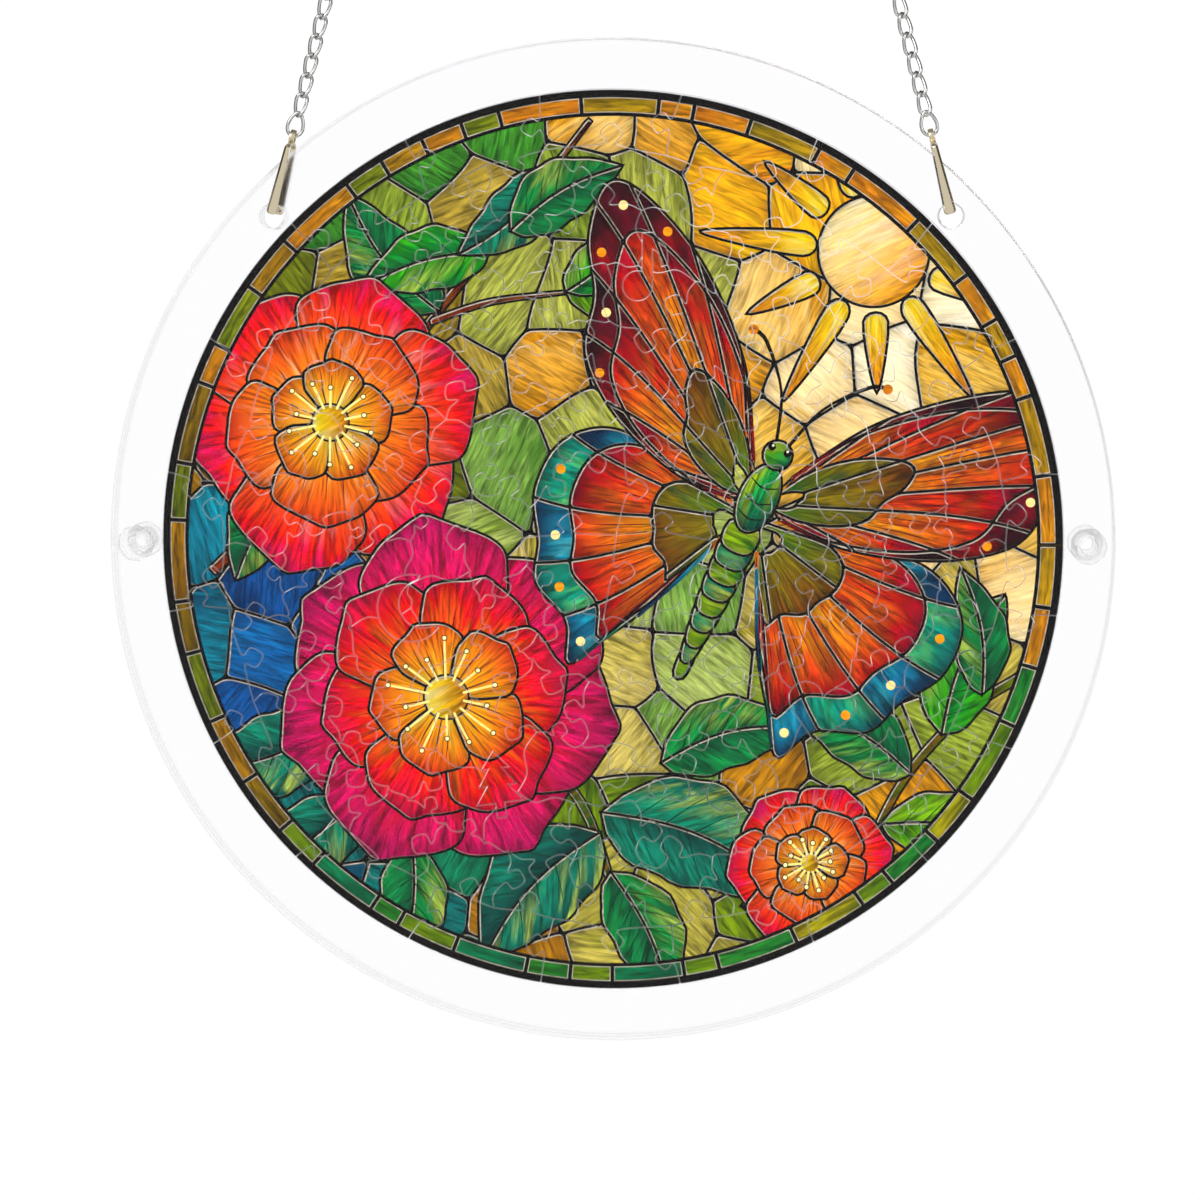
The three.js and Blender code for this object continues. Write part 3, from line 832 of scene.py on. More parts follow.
def thinned(outline, play=0.03):
    """The outline without the points that lie within play of a straight line between their neighbours."""
    points = np.array(outline, dtype=float)
    kept = [0]
    while kept[-1] < len(points) - 1:
        first = kept[-1]
        last = first + 1
        while last < len(points) - 1 and last - first < LONGEST_SKIP:
            chord = points[last + 1] - points[first]
            length = max(np.hypot(*chord), 1e-9)
            offset = points[first + 1:last + 1] - points[first]
            if np.abs(chord[0] * offset[:, 1] - chord[1] * offset[:, 0]).max() / length > play:
                break
            last += 1
        kept.append(last)
    return [tuple(points[i]) for i in kept]


def paint(outline, start, end, tints, streaks, fan=None, grain=0.0, shade=0.0):
    """One coloured outline. Its colours run from start to end, and its streaks lie along grain, in
    degrees, or spread from the point fan. The shade darkens it towards its outline."""
    shapes.append({
        "outline": thinned(outline), "start": np.array(start), "end": np.array(end),
        "tints": [rgb(c) for c in tints], "streaks": [rgb(c) for c in streaks],
        "fan": fan, "grain": grain, "shade": shade, "seed": random_value(len(shapes) + 1)})


def flat(outline, code):
    paint(outline, (0, 0), (1, 0), (code, code), (code, code))


def resampled(points, spacing=1.1, closed=True):
    """The same line with points at even steps, so that no inset crosses itself at crowded points."""
    line = np.array(list(points) + ([points[0]] if closed else []), dtype=float)
    steps = np.hypot(*np.diff(line, axis=0).T)
    length = np.concatenate([[0], np.cumsum(steps)])
    count = max(6, int(length[-1] / spacing))
    places = np.linspace(0, length[-1], count, endpoint=not closed)
    return [(float(np.interp(s, length, line[:, 0])), float(np.interp(s, length, line[:, 1])))
            for s in places]


def pane(outline, start, end, tints, streaks, fan=None, grain=0.0, shade=0.35, lead=LEAD):
    line = resampled(outline)
    flat(inset(line, -lead), BLACK)
    flat(inset(line, lead), SHEEN_GREY)
    glass = [(x + SHEEN_SHIFT, y - SHEEN_SHIFT) for x, y in inset(line, lead + SHEEN)]
    paint(glass, start, end, tints, streaks, fan, grain, shade)


def ribbon(points, widths):
    """The outline of a line with a width that may change along it."""
    line = np.array(points, dtype=float)
    along = np.gradient(line, axis=0)
    along /= np.linalg.norm(along, axis=1, keepdims=True)
    normal = np.stack([-along[:, 1], along[:, 0]], axis=1)
    half = np.interp(np.linspace(0, 1, len(line)), np.linspace(0, 1, len(widths)), widths)[:, None] / 2
    return [tuple(p) for p in line - normal * half] + [tuple(p) for p in (line + normal * half)[::-1]]


def stroke(points, widths=(0.3, 0.5, 0.2), code=BLACK, steps=5):
    flat(ribbon(resampled(smooth(points, steps, False), 1.2, False), widths), code)


# %% [markdown]
# The ground of such a picture is filled with odd pieces of plain glass. Here it is cut into panes
# around scattered points, so that each pane holds what is nearest to its point. A Voronoi texture
# gives the same cells, but no outline for the lead to follow. The lead lines are then bent by slow
# waves. Each pane takes its colours from the nearest wash
# of colour, given by its middle and its pairs of light and dark: cream and amber round the sun, olive
# and brown above the leaves, teal and blue for the water.

# %% The ground's panes
PICTURE_RADIUS = 85.0
SEED_STEP = 17.5
ROW_STEP = 0.87 * SEED_STEP
CELL_REACH = 60
WASH_BLUR = 14
WASHES = (
    (44, 60, (("#fdf3d4", "#f6c874"), ("#f8c95c", "#e58f26"), ("#fff8e4", "#fbe2a8"),
              ("#f6b544", "#e0801c"))),
    (76, 8, (("#f7d68c", "#cf9a48"), ("#e2c27a", "#a09a4c"), ("#fdebc0", "#eebc6c"))),
    (60, -44, (("#dcc37a", "#a09a48"), ("#eeb05a", "#b47a30"), ("#a8b45a", "#64782c"))),
    (16, -64, (("#ccbc6e", "#8c8a3c"), ("#86a03a", "#4a6422"), ("#d49637", "#8a5a1e"))),
    (-44, -68, (("#1d8a80", "#0a3f4a"), ("#14607c", "#082c48"), ("#2f9a6c", "#0f4a38"))),
    (-76, -28, (("#1c5fa8", "#08285a"), ("#1790a4", "#0a4664"), ("#2a78b8", "#123a7a"))),
    (-74, 20, (("#9a742c", "#4c3414"), ("#76802e", "#3c4418"), ("#b88a3c", "#6a461c"))),
    (-36, 66, (("#a8b85a", "#4e6822"), ("#cbb266", "#7a6626"), ("#62a84a", "#2a6430"))),
    (4, 46, (("#fbe0a0", "#dca052"), ("#c2c270", "#848f3c"), ("#f4c47a", "#c07e34"))),
    (0, -14, (("#c6d088", "#7c9444"), ("#e4d08c", "#a09444"), ("#98b868", "#54803a"))),
)


def clipped(polygon, x, y, normal_x, normal_y):
    """What is left of the polygon on the near side of a line."""
    kept = []
    for (ax, ay), (bx, by) in zip(polygon, polygon[1:] + polygon[:1]):
        a = (ax - x) * normal_x + (ay - y) * normal_y
        b = (bx - x) * normal_x + (by - y) * normal_y
        if a <= 0:
            kept.append((ax, ay))
        if (a < 0 < b) or (b < 0 < a):
            share = a / (a - b)
            kept.append((ax + (bx - ax) * share, ay + (by - ay) * share))
    return kept


def ground_seeds():
    seeds = []
    rows = int(2 * PICTURE_RADIUS / SEED_STEP) + 3
    for row in range(rows):
        for column in range(rows):
            number = row * rows + column
            x = (column - rows / 2 + 0.5 * (row % 2) + 0.75 * random_value(number)) * SEED_STEP
            y = (row - rows / 2 + 0.7 * random_value(number + 500)) * ROW_STEP
            if math.hypot(x, y) < PICTURE_RADIUS + SEED_STEP:
                seeds.append((x, y))
    return seeds


def bent(x, y):
    return (x + 2.4 * math.sin(y / 9 + 1) + 1.2 * math.sin((x + y) / 6), y + 2.4 * math.sin(x / 11 + 2))


def paint_ground():
    seeds = ground_seeds()
    for number, (x, y) in enumerate(seeds):
        cell = [(x + u * CELL_REACH, y + v * CELL_REACH) for u, v in ((-1, -1), (1, -1), (1, 1), (-1, 1))]
        for other_x, other_y in seeds:
            if 0 < math.dist((x, y), (other_x, other_y)) < CELL_REACH:
                cell = clipped(cell, (x + other_x) / 2, (y + other_y) / 2, other_x - x, other_y - y)
        cell = [bent(*point) for point in resampled(cell, 1.4)]
        blurred = (x + WASH_BLUR * (random_value(number) - 0.5),
                   y + WASH_BLUR * (random_value(number + 90) - 0.5))
        wash = min(WASHES, key=lambda w: math.dist(blurred, w[:2]))
        light, dark = wash[2][int(3 * random_value(number + 7)) % len(wash[2])]
        turn = 360 * random_value(number + 31)
        reach = polar(SEED_STEP * 0.6, turn)
        pane(cell, (x - reach[0], y - reach[1]), (x + reach[0], y + reach[1]), (light, dark),
             (dark, light), grain=turn + 60, shade=0.35)


flat(circle(CUT_RADIUS + 1, 160), BLACK)
paint_ground()
print("Ground panes:", len(shapes) // 3)

# %% [markdown]
# A leaf is two panes on either side of a bent midrib, one lit and one in shade, with side veins. It
# could be drawn point by point, but so many leaves would take long lists. Its width follows a sine,
# fullest near the base, so the same few numbers give broad and slender leaves.

# %% Leaves and stems
GREENS = (("#5fc04a", "#147a3a"), ("#2f9f52", "#0a5a38"), ("#8fc83c", "#3a7a2a"), ("#1f9a78", "#0a4a44"))
VEIN_GREEN = "#0c2a1a"


def paint_leaf(base, length, angle, width, bend, number):
    light, dark = GREENS[number % len(GREENS)]

    def place(t, across):
        return turned(length * t, across * width / 2 + bend * math.sin(math.pi * t), angle, base)

    def edge(t):
        return math.sin(math.pi * t ** 0.78) ** 0.85 * (1 + 0.05 * math.sin(23 * t + number))
    shares = [i / 16 for i in range(17)]
    rib = [place(t, 0) for t in shares]
    for side in (1, -1):
        rim = [place(t, side * edge(t)) for t in shares[1:-1]]
        tone = (light, dark) if side > 0 else (dark, light)
        pane(rib + rim[::-1], place(0.5, 0), place(0.5, side), tone,
             (dark, "#d8e87a" if side > 0 else dark), grain=angle + side * 38, shade=0.4)
    for i in range(1, 6):
        for side in (1, -1):
            t = i / 7 + 0.02 * side
            reach = min(1.0, t + 0.16)
            stroke([place(t, 0), place((t + reach) / 2, side * edge(reach) * 0.45),
                    place(reach, side * edge(reach) * 0.82)], (0.28, 0.2, 0.08), VEIN_GREEN, 3)


def paint_stem(points, width, tints=("#a8462e", "#4a1c18")):
    line = resampled(smooth(points, 8, False), 1.2, False)
    outline = ribbon(line, (width, width * 0.9, width * 0.55))
    pane(outline, points[0], points[-1], tints, (tints[1], "#d88a4a"), grain=40, shade=0.5, lead=0.22)


print("Leaf greens:", len(GREENS))

# %% [markdown]
# A blossom is painted in rings of petals, the outermost first. Copies of one petal would look stamped,
# so each gets its own reach, turn and wave from its number. A petal is widest past its middle and its
# rim is wavy. Its colours run from the heart outwards, and its streaks spread from the heart like the
# folds of a real petal.

# %% Blossoms
PETAL_TURN = 8  # degrees, at most half of it either way
PETAL_REACH = 0.12  # of its length, in the same way
FOLD_RED = "#4a0a22"
STAMENS = 14


def paint_petal(heart_point, angle, near, far, width, tints, streaks, number):
    def place(t, across):
        return turned(near + (far - near) * t, across * width / 2, angle, heart_point)

    def edge(t):
        return (0.16 + 0.84 * math.sin(math.pi * t ** 1.5) ** 0.6) * (1 - t ** 14) ** 0.5
    shares = [i / 18 for i in range(19)]
    wave = [0.05 * math.sin(17 * t + 5 * random_value(number)) * t for t in shares]
    upper = [place(t, edge(t) + w) for t, w in zip(shares, wave)]
    lower = [place(t, -edge(t) + w) for t, w in zip(shares, wave)]
    outline = smooth(upper[:-1] + [place(1.03, 0.12), place(1.0, -0.1)] + lower[-2::-1], 2)
    pane(outline, place(0.05, 0), place(1, 0), tints, streaks, fan=place(-0.12, 0), shade=0.45)
    for offset in (-0.42, 0.05, 0.4):
        stroke([place(0.12, offset * 0.3), place(0.45, offset * 0.8), place(0.72 + 0.1 * offset, offset)],
               (0.22, 0.3, 0.08), FOLD_RED, 4)


def paint_blossom(x, y, size, turn, rings, number):
    for ring, (count, near, far, width, tints, streaks) in enumerate(rings):
        order = sorted(range(count), key=lambda i: random_value(i + 13 * ring + number))
        for i in order:
            own_turn = PETAL_TURN * (random_value(i + 3 * number) - 0.5)
            angle = turn + 360 * (i + 0.5 * ring) / count + own_turn
            reach = far * (1 + PETAL_REACH * (random_value(i + 7 * ring + number) - 0.5))
            paint_petal((x, y), angle, near * size, reach * size, width * size, tints, streaks,
                        i + 10 * ring + number)
    pane(circle(0.13 * size, 20, x, y), (x - 0.1 * size, y), (x + 0.12 * size, y), ("#fbe26a", "#e08a1e"),
         ("#fff4b0", "#b85a14"), grain=30, lead=0.2)
    for i in range(STAMENS):
        angle = 360 * i / STAMENS + turn
        near, far = polar(0.1 * size, angle), polar((0.24 + 0.05 * (i % 3)) * size, angle)
        middle = (x + far[0] * 0.6, y + far[1] * 0.62)
        stroke([(x + near[0], y + near[1]), middle, (x + far[0], y + far[1])], (0.5, 0.42), "#fbe79a", 2)
        flat(circle(0.62, 10, x + far[0], y + far[1]), BLACK)
        flat(circle(0.42, 10, x + far[0], y + far[1]), "#fdf3b8")


# Each ring of petals has their number, where they start and end, their width, tints and streaks.
CRIMSON_BLOSSOM = (
    (7, 0.1, 1.0, 0.86, ("#e81f4a", "#c4125f"), ("#ff7a5a", "#8a0f4a")),
    (6, 0.08, 0.74, 0.66, ("#ff5a3c", "#e0204a"), ("#ffb05a", "#c01050")),
    (5, 0.05, 0.46, 0.42, ("#ffb43c", "#f2452f"), ("#fff08a", "#e02a3c")),
)
CORAL_BLOSSOM = (
    (6, 0.1, 1.0, 0.95, ("#ff8a5a", "#ee3c50"), ("#ffc98a", "#e01a78")),
    (5, 0.08, 0.72, 0.74, ("#ffa45c", "#f2503e"), ("#ffe09a", "#f06a6a")),
    (5, 0.05, 0.44, 0.42, ("#ffd25a", "#f0662a"), ("#fff4b0", "#e8402a")),
)
print("Petals of a crimson blossom:", sum(count for count, *_ in CRIMSON_BLOSSOM))

# %% [markdown]
# A wing is a fan of cells between veins that start at its root. Each cell could have its own list of
# points, but then neighbours would have to be matched by hand. Instead the margin is drawn once as a
# smooth line, and every inner line is that margin drawn smaller towards the root. Three bands come
# from three pairs of scales: the cell near the root, the long bright cells, and the dark border with
# its pale spots.

# %% Wings
FOLD_STROKES = ((0.26, 0.8), (0.5, 0.55), (0.76, 0.9))  # place across the cell, and reach along it
WING_LINE = "#5c0d1c"


def wing_cells(margin, root, wing_bands, swirl, place):
    line = np.array(smooth(margin, 8, False))
    shares = np.linspace(0, 1, len(line))

    def spot(t, scale):
        t = min(1, max(0, t + swirl * scale * (1 - scale) * math.sin(math.pi * t)))
        x, y = np.interp(t, shares, line[:, 0]), np.interp(t, shares, line[:, 1])
        return place(root[0] + (x - root[0]) * scale, root[1] + (y - root[1]) * scale)

    fan = place(*root)
    for low, high, cells_in_band, looks in wing_bands:
        for i in range(cells_in_band):
            t0, t1 = i / cells_in_band, (i + 1) / cells_in_band
            steps = [t0 + (t1 - t0) * k / 8 for k in range(9)]
            sides = [low + (high - low) * k / 8 for k in range(1, 8)]
            outline = [spot(t, high) for t in steps] + [spot(t1, s) for s in sides[::-1]]
            outline += [spot(t, low) for t in steps[::-1]] + [spot(t0, s) for s in sides]
            tints, streaks = looks[i % len(looks)]
            middle = (t0 + t1) / 2
            pane(outline, spot(middle, low), spot(middle, high), tints, streaks, fan=fan, shade=0.5)
            if cells_in_band > 3 and high < 1:
                for offset, reach in FOLD_STROKES:
                    t = t0 + (t1 - t0) * offset
                    stroke([spot(t, low + (high - low) * s) for s in (0.08, reach / 2, reach)],
                           (0.12, 0.26, 0.06), WING_LINE, 3)
            if high == 1 and 1 < i < cells_in_band - 2:
                spot_x, spot_y = spot(middle, (low + high) / 2)
                flat(circle(0.95, 14, spot_x, spot_y), "#f8e2a0" if i % 2 else "#f6a04a")


# Each look is a pair of tints and a pair of streak colours, both from the root outwards.
WING_FIRE = (
    (("#ffb03c", "#e8321f"), ("#ff6a2a", "#b01432")),
    (("#ff7a2e", "#cf1830"), ("#ffa848", "#8a1030")),
    (("#f8502a", "#a81232"), ("#ff8a3a", "#6a0f2a")),
)
WING_DARK = (
    (("#8a1a2c", "#3a0c18"), ("#b83a3a", "#240810")),
    (("#6a1426", "#2c0a14"), ("#a02a34", "#1c060c")),
)
WING_ROOT = (
    (("#2f7a3a", "#8a7a24"), ("#a8b83a", "#1a4a34")),
    (("#6a6a24", "#8a4a1c"), ("#c0a83a", "#3a2a14")),
)
WING_SEA = (
    (("#1fa88a", "#0a5a5a"), ("#7fd88a", "#0a3a4a")),
    (("#2a8ab0", "#0c3f6a"), ("#6ac0c8", "#0a2a4a")),
)
FORE_MARGIN = ((4, 9), (14, 24), (30, 37), (47, 44), (55, 43), (54, 33), (48, 24), (45, 14), (34, 6),
               (18, 1), (5, 1))
HIND_MARGIN = ((5, 2), (18, 3), (33, 4), (42, -2), (43, -12), (38, -20), (35, -27), (26, -31),
               (22, -38), (17, -31), (11, -22), (5, -9))
# Each band has its two scales, its number of cells and their looks.
FORE_BANDS = ((0.1, 0.4, 3, WING_ROOT), (0.4, 0.84, 9, WING_FIRE), (0.84, 1, 9, WING_DARK))
HIND_BANDS = ((0.12, 0.42, 3, WING_ROOT), (0.42, 0.82, 8, WING_FIRE), (0.82, 1, 8, WING_SEA))
print("Wing cells on each side:", sum(band[2] for band in FORE_BANDS + HIND_BANDS))

# %% [markdown]
# The body is a stack of rounded segments, a breast and a head. Like the wings, it is drawn upright
# and of size one, and one function turns it, makes it larger and squeezes the far wing. Points in
# their final place would look the same, but leave no second try at where the butterfly sits.

# %% The butterfly
SEGMENTS = 9


def paint_butterfly(x, y, turn, size, near_squeeze, far_squeeze):
    def placing(side, squeeze):
        def place(u, v):
            return turned(side * squeeze * u * size, v * size, turn, (x, y))
        return place

    for side, squeeze in ((-1, far_squeeze), (1, near_squeeze)):
        place = placing(side, squeeze)
        wing_cells(HIND_MARGIN, (2, -2), HIND_BANDS, 0.1, place)
        wing_cells(FORE_MARGIN, (2, 3), FORE_BANDS, -0.12, place)
    place = placing(1, 1)
    for side in (-1, 1):
        stroke([place(side * 1.0, 13), place(side * 4, 22), place(side * 10, 29), place(side * 13, 30)],
               (0.7, 0.55, 0.9), BLACK)
        flat(circle(1.0, 14, *place(side * 13, 30)), "#c8741e")
    for i in reversed(range(SEGMENTS)):
        top, bottom = -2.5 - 3.1 * i, -6.6 - 3.1 * i
        wide, narrow = 3.0 * math.cos(i / 8 * 1.25) ** 0.7, 3.0 * math.cos(min(1, (i + 1) / 8) * 1.3) ** 0.7
        ring = [place(-wide, top), place(0, top + 0.8), place(wide, top), place(narrow, bottom),
                place(0, bottom - 1.0), place(-narrow, bottom)]
        tone = ("#2fae7a", "#0a5a52") if i % 2 else ("#a8c83a", "#2a7a3a")
        pane(smooth(ring, 4), place(-3, top), place(3, top), tone, (tone[1], "#e0e86a"), grain=turn,
             shade=0.5)
    body = [place(3.6 * math.sin(a), 3 + 6.6 * math.cos(a)) for a in np.linspace(0, 2 * math.pi, 25)[:-1]]
    pane(body, place(-3, 6), place(3, 0), ("#3fb85a", "#0c5a4a"), ("#c8e05a", "#0a3a3a"),
         grain=turn + 90, shade=0.6)
    for k in (-1, 0, 1):
        stroke([place(-2.6, 3 + 3 * k), place(0, 2 + 3 * k), place(2.6, 3 + 3 * k)], (0.2, 0.4, 0.2))
    head = circle(2.7 * size, 22, *place(0, 11.4))
    pane(head, place(-2, 12), place(2, 10), ("#6fc84a", "#146a4a"), ("#e0ea6a", "#0a3a3a"),
         grain=turn, shade=0.5)
    for side in (-1, 1):
        flat(circle(0.8, 14, *place(side * 1.5, 12.4)), BLACK)
        flat(circle(0.25, 8, *place(side * 1.4, 12.7)), "#f4f0dc")


print("The body has", SEGMENTS, "segments")

# %% [markdown]
# The order below is the painter's order: the sun, stems and leaves first, then the blossoms, and the
# butterfly on top. A table holds the leaves, because each needs only its base, length, angle, width,
# bend and green.

# %% Paint it
RAYS = 11


def paint_sun(x, y, radius):
    for i in range(RAYS):
        near = polar(radius + 3, 360 * i / RAYS)
        far = polar(radius + 17 + 7 * (i % 2), 360 * (i + 0.3) / RAYS)
        wide = polar(radius + 3, 360 * (i + 0.62) / RAYS)
        ray = [(x + spot[0], y + spot[1]) for spot in (near, far, wide)]
        pane(smooth(ray, 6), ray[0], ray[1], ("#fbd24a", "#f08a20"), ("#fff2a8", "#e0701c"),
             fan=(x, y), shade=0.3)
    pane(circle(radius, 60, x, y), (x - radius, y + radius), (x + radius, y - radius),
         ("#fff3b8", "#f6a032"), ("#ffffe0", "#f08a28"), grain=25, shade=0.3)


paint_sun(52, 58, 11)
paint_stem([(-80, -6), (-66, 8), (-52, 22), (-36, 44), (-18, 66), (-4, 84)], 2.2)
paint_stem([(-36, 44), (-24, 48), (-8, 50)], 1.5)
paint_stem([(82, -26), (70, -34), (58, -48), (50, -66), (48, -82)], 2.0, ("#7a8a2e", "#3a3414"))
paint_stem([(-30, -30), (-6, -52), (4, -86)], 2.2, ("#4a8a34", "#1c4020"))
LEAVES = (
    ((-34, 46), 30, 128, 15, 2.5, 1), ((-24, 58), 27, 196, 13, -2, 0), ((-12, 74), 25, 222, 12, 2, 3),
    ((-20, 62), 26, 30, 13, 2, 1), ((-9, 50), 25, -12, 12, 2.4, 2), ((-9, 50), 22, 48, 11, -2, 0),
    ((-58, 18), 26, 168, 13, 2, 3), ((-62, 12), 24, 236, 14, -2, 1), ((-50, 26), 22, 108, 11, 2, 2),
    ((-2, -54), 42, -24, 22, 4, 3), ((-2, -58), 36, 228, 20, -3, 3), ((0, -66), 30, -66, 15, 2, 1),
    ((10, -44), 30, 14, 15, 3, 1), ((66, -38), 31, 66, 16, 2.5, 0), ((60, -46), 27, 152, 14, -2.5, 1),
    ((54, -56), 28, -8, 13, 2, 2), ((50, -66), 25, 196, 12, 2, 0), ((74, -30), 26, 100, 11, -2, 1),
    ((-56, -36), 30, 198, 17, 3, 3), ((-50, -52), 31, 226, 16, -2, 3), ((-40, -60), 28, 262, 14, 2, 1),
)
for leaf in LEAVES:
    paint_leaf(*leaf)
paint_blossom(-56, 24, 29, 12, CORAL_BLOSSOM, 3)
paint_blossom(-33, -31, 35, 40, CRIMSON_BLOSSOM, 8)
paint_blossom(40, -64, 17, 5, CORAL_BLOSSOM, 21)
paint_butterfly(28, 6, -24, 1.12, 1.0, 0.86)
print("Leaves:", len(LEAVES), "and outlines so far:", len(shapes))

# %% [markdown]
# A border of short panes holds such a picture together. It comes last of all, between two black rings,
# amber at the top and right, olive at the left and green at the bottom. Equal panes would look like a
# ruler, so their widths vary by chance, mostly from 4 to 11 degrees.

# %% The border
# Each wash has its middle in degrees and its pairs of light and dark.
BORDER_RADIUS = 88.3
BORDER_LEAD = 0.35
LEAST_WIDTH = 6  # degrees that are left for the last pane
BORDER_WASHES = (
    (70, (("#f0a032", "#c86f1e"), ("#f6b84a", "#e07a20"), ("#c9a03a", "#8a7a28"))),
    (10, (("#f2a63a", "#b86a1e"), ("#d8a83c", "#9a7a28"))),
    (130, (("#c8962e", "#8a6420"), ("#8f9a34", "#5a6a24"), ("#e09a34", "#a8641e"))),
    (190, (("#9a7a2c", "#5f4a1c"), ("#7f8a30", "#4a5a20"), ("#b8862e", "#7a541c"))),
    (250, (("#4f9a44", "#246a34"), ("#8faa3c", "#4f7426"), ("#2f8a5a", "#145038"))),
    (310, (("#8fae3e", "#4a7a28"), ("#4fa04a", "#1f6a38"), ("#c0b044", "#7f8a30"))),
)


def ring_part(near, far, start, end):
    steps = max(4, int((end - start) / 1.5))
    outer = arc(far, start, end, steps)
    return outer + arc(near, start, end, steps)[::-1]


def paint_border():
    flat(ring_part(PICTURE_RADIUS - BORDER_LEAD, CUT_RADIUS + 0.6, 0, 359.99), BLACK)
    angle = 0.0
    number = 0
    while angle < 359:
        width = 4 + 7 * random_value(number + 40)
        end = 360 if angle + width > 360 - LEAST_WIDTH else angle + width
        ring = ring_part(PICTURE_RADIUS + BORDER_LEAD, BORDER_RADIUS, angle + 0.25, end - 0.25)
        middle = (angle + end) / 2
        family = min(BORDER_WASHES, key=lambda wash: abs((middle - wash[0] + 180) % 360 - 180))
        light, dark = family[1][number % len(family[1])]
        flat(ring, SHEEN_GREY)
        near, far = polar(PICTURE_RADIUS + 1, angle), polar(PICTURE_RADIUS + 1, end)
        paint(inset(ring, 0.16), near, far, (light, dark), (dark, light),
              grain=middle + 90, shade=0.35)
        angle = end
        number += 1
    return number


print("Border panes:", paint_border(), "and outlines in all:", len(shapes))

# %% [markdown]
# ## Picture and pieces together
#
# One triangulation takes the pieces' outlines and the picture's outlines. For each small triangle,
# its middle then tells which piece it belongs to and which outline was painted last on it. An image on
# each piece would be less work, but blurs up close. A second triangulation takes only the edges that
# show, with loose points every few millimetres, so that the triangles are few but small enough for the
# colours to run smoothly. A narrow bevel round each piece is bare acrylic, tinted by the print beside
# it. It shows as the fine pale cut line.

# %% Lay the picture over the cuts
CUT_WIDTH = 0.08
BEVEL = 0.12
# The bevel takes the laser-cut side's whitened tint, which is painted light.
PRINT_INSET = CUT_WIDTH / 2 + BEVEL
POINT_STEP = 2.6


def flat_pieces():
    """The outline of each piece by name and the outlines of the holes that the figures need."""
    outlines = {f"edge_piece_{i + 1:02d}": outline for i, outline in enumerate(cells[0])}
    for ring, ring_cells in enumerate(cells[1:], 2):
        outlines.update({f"field_{ring}_{i:02d}": outline for i, outline in enumerate(ring_cells)})
    figures = {name: figure_outline(*rest) for name, *rest in FIGURES}
    cut_outs = [inset(outline, -PRINT_INSET) for outline in figures.values()]
    outlines.update(figures)
    return {name: inset(outline, PRINT_INSET) for name, outline in outlines.items()}, cut_outs


def labelled(points, triangles, pieces, figure_count, cut_outs):
    """For each triangle the number of its piece, or -1 in a cut, and the number of its top outline."""
    covered = cover_test(points[triangles].mean(axis=1))
    owner = np.full(len(triangles), -1)
    for number, outline in enumerate(pieces[:-figure_count]):
        owner[covered(outline)] = number
    for outline in cut_outs:
        owner[covered(outline)] = -1
    for number, outline in enumerate(pieces[-figure_count:], len(pieces) - figure_count):
        owner[covered(outline)] = number
    top = np.full(len(triangles), -1)
    for number, shape in enumerate(shapes):
        top[covered(shape["outline"])] = number
    return owner, top


def seen_edges(triangles, owner, top):
    """The edges between triangles of different pieces or outlines. All others are hidden or idle."""
    sides = {}
    for row, triangle in enumerate(triangles.tolist()):
        for a, b in zip(triangle, triangle[1:] + triangle[:1]):
            sides.setdefault((min(a, b), max(a, b)), []).append(row)
    label = list(zip(owner.tolist(), np.where(owner < 0, -1, top).tolist()))
    return [edge for edge, rows in sides.items() if len({label[row] for row in rows}) > 1]


def laid_over():
    pieces, cut_outs = flat_pieces()
    outlines = list(pieces.values())
    points, edges = joined(outlines + cut_outs + [shape["outline"] for shape in shapes])
    points, triangles = triangulate(points, edges)
    owner, top = labelled(points, triangles, outlines, len(cut_outs), cut_outs)
    edges = seen_edges(triangles, owner, top)
    used, compact = np.unique(edges, return_inverse=True)
    loose = []
    reach = int(CUT_RADIUS / POINT_STEP)
    for row in range(-reach, reach + 1):
        for column in range(-reach, reach + 1):
            x, y = (column + 0.5 * (row % 2)) * POINT_STEP, row * POINT_STEP
            if math.hypot(x, y) < CUT_RADIUS - 0.5:
                loose.append((x, y))
    points, triangles = triangulate([*points[used].tolist(), *loose], compact.reshape(-1, 2).tolist())
    return list(pieces), points, triangles, *labelled(points, triangles, outlines, len(cut_outs), cut_outs)


piece_names, flat_points, flat_triangles, flat_owner, flat_top = laid_over()
print(len(flat_points), "points,", len(flat_triangles), "triangles for", len(piece_names), "pieces")


# %% [markdown]
# Colour is stored at every corner of every triangle, not at its points, because two panes that share a
# point have colours of their own there. A pane's colours run from its start to its end and darken
# towards its lead. Its streaks run one way or spread from a point, which the grain's place says.

# %% Colours for every corner
SHADE_REACH = 2.1
FAN_STEP = 22  # mm of grain across for each radian round the fan's point
GRAIN_SHIFT = 300


def line_distance(points, outline):
    a = np.array(outline)
    b = np.roll(a, -1, axis=0)
    along = b - a
    length = np.maximum((along ** 2).sum(axis=1), 1e-9)
    offset = points[:, None, :] - a[None]
    share = np.clip((offset * along[None]).sum(axis=2) / length, 0, 1)
    nearest = offset - share[..., None] * along[None]
    return np.sqrt((nearest ** 2).sum(axis=2)).min(axis=1)


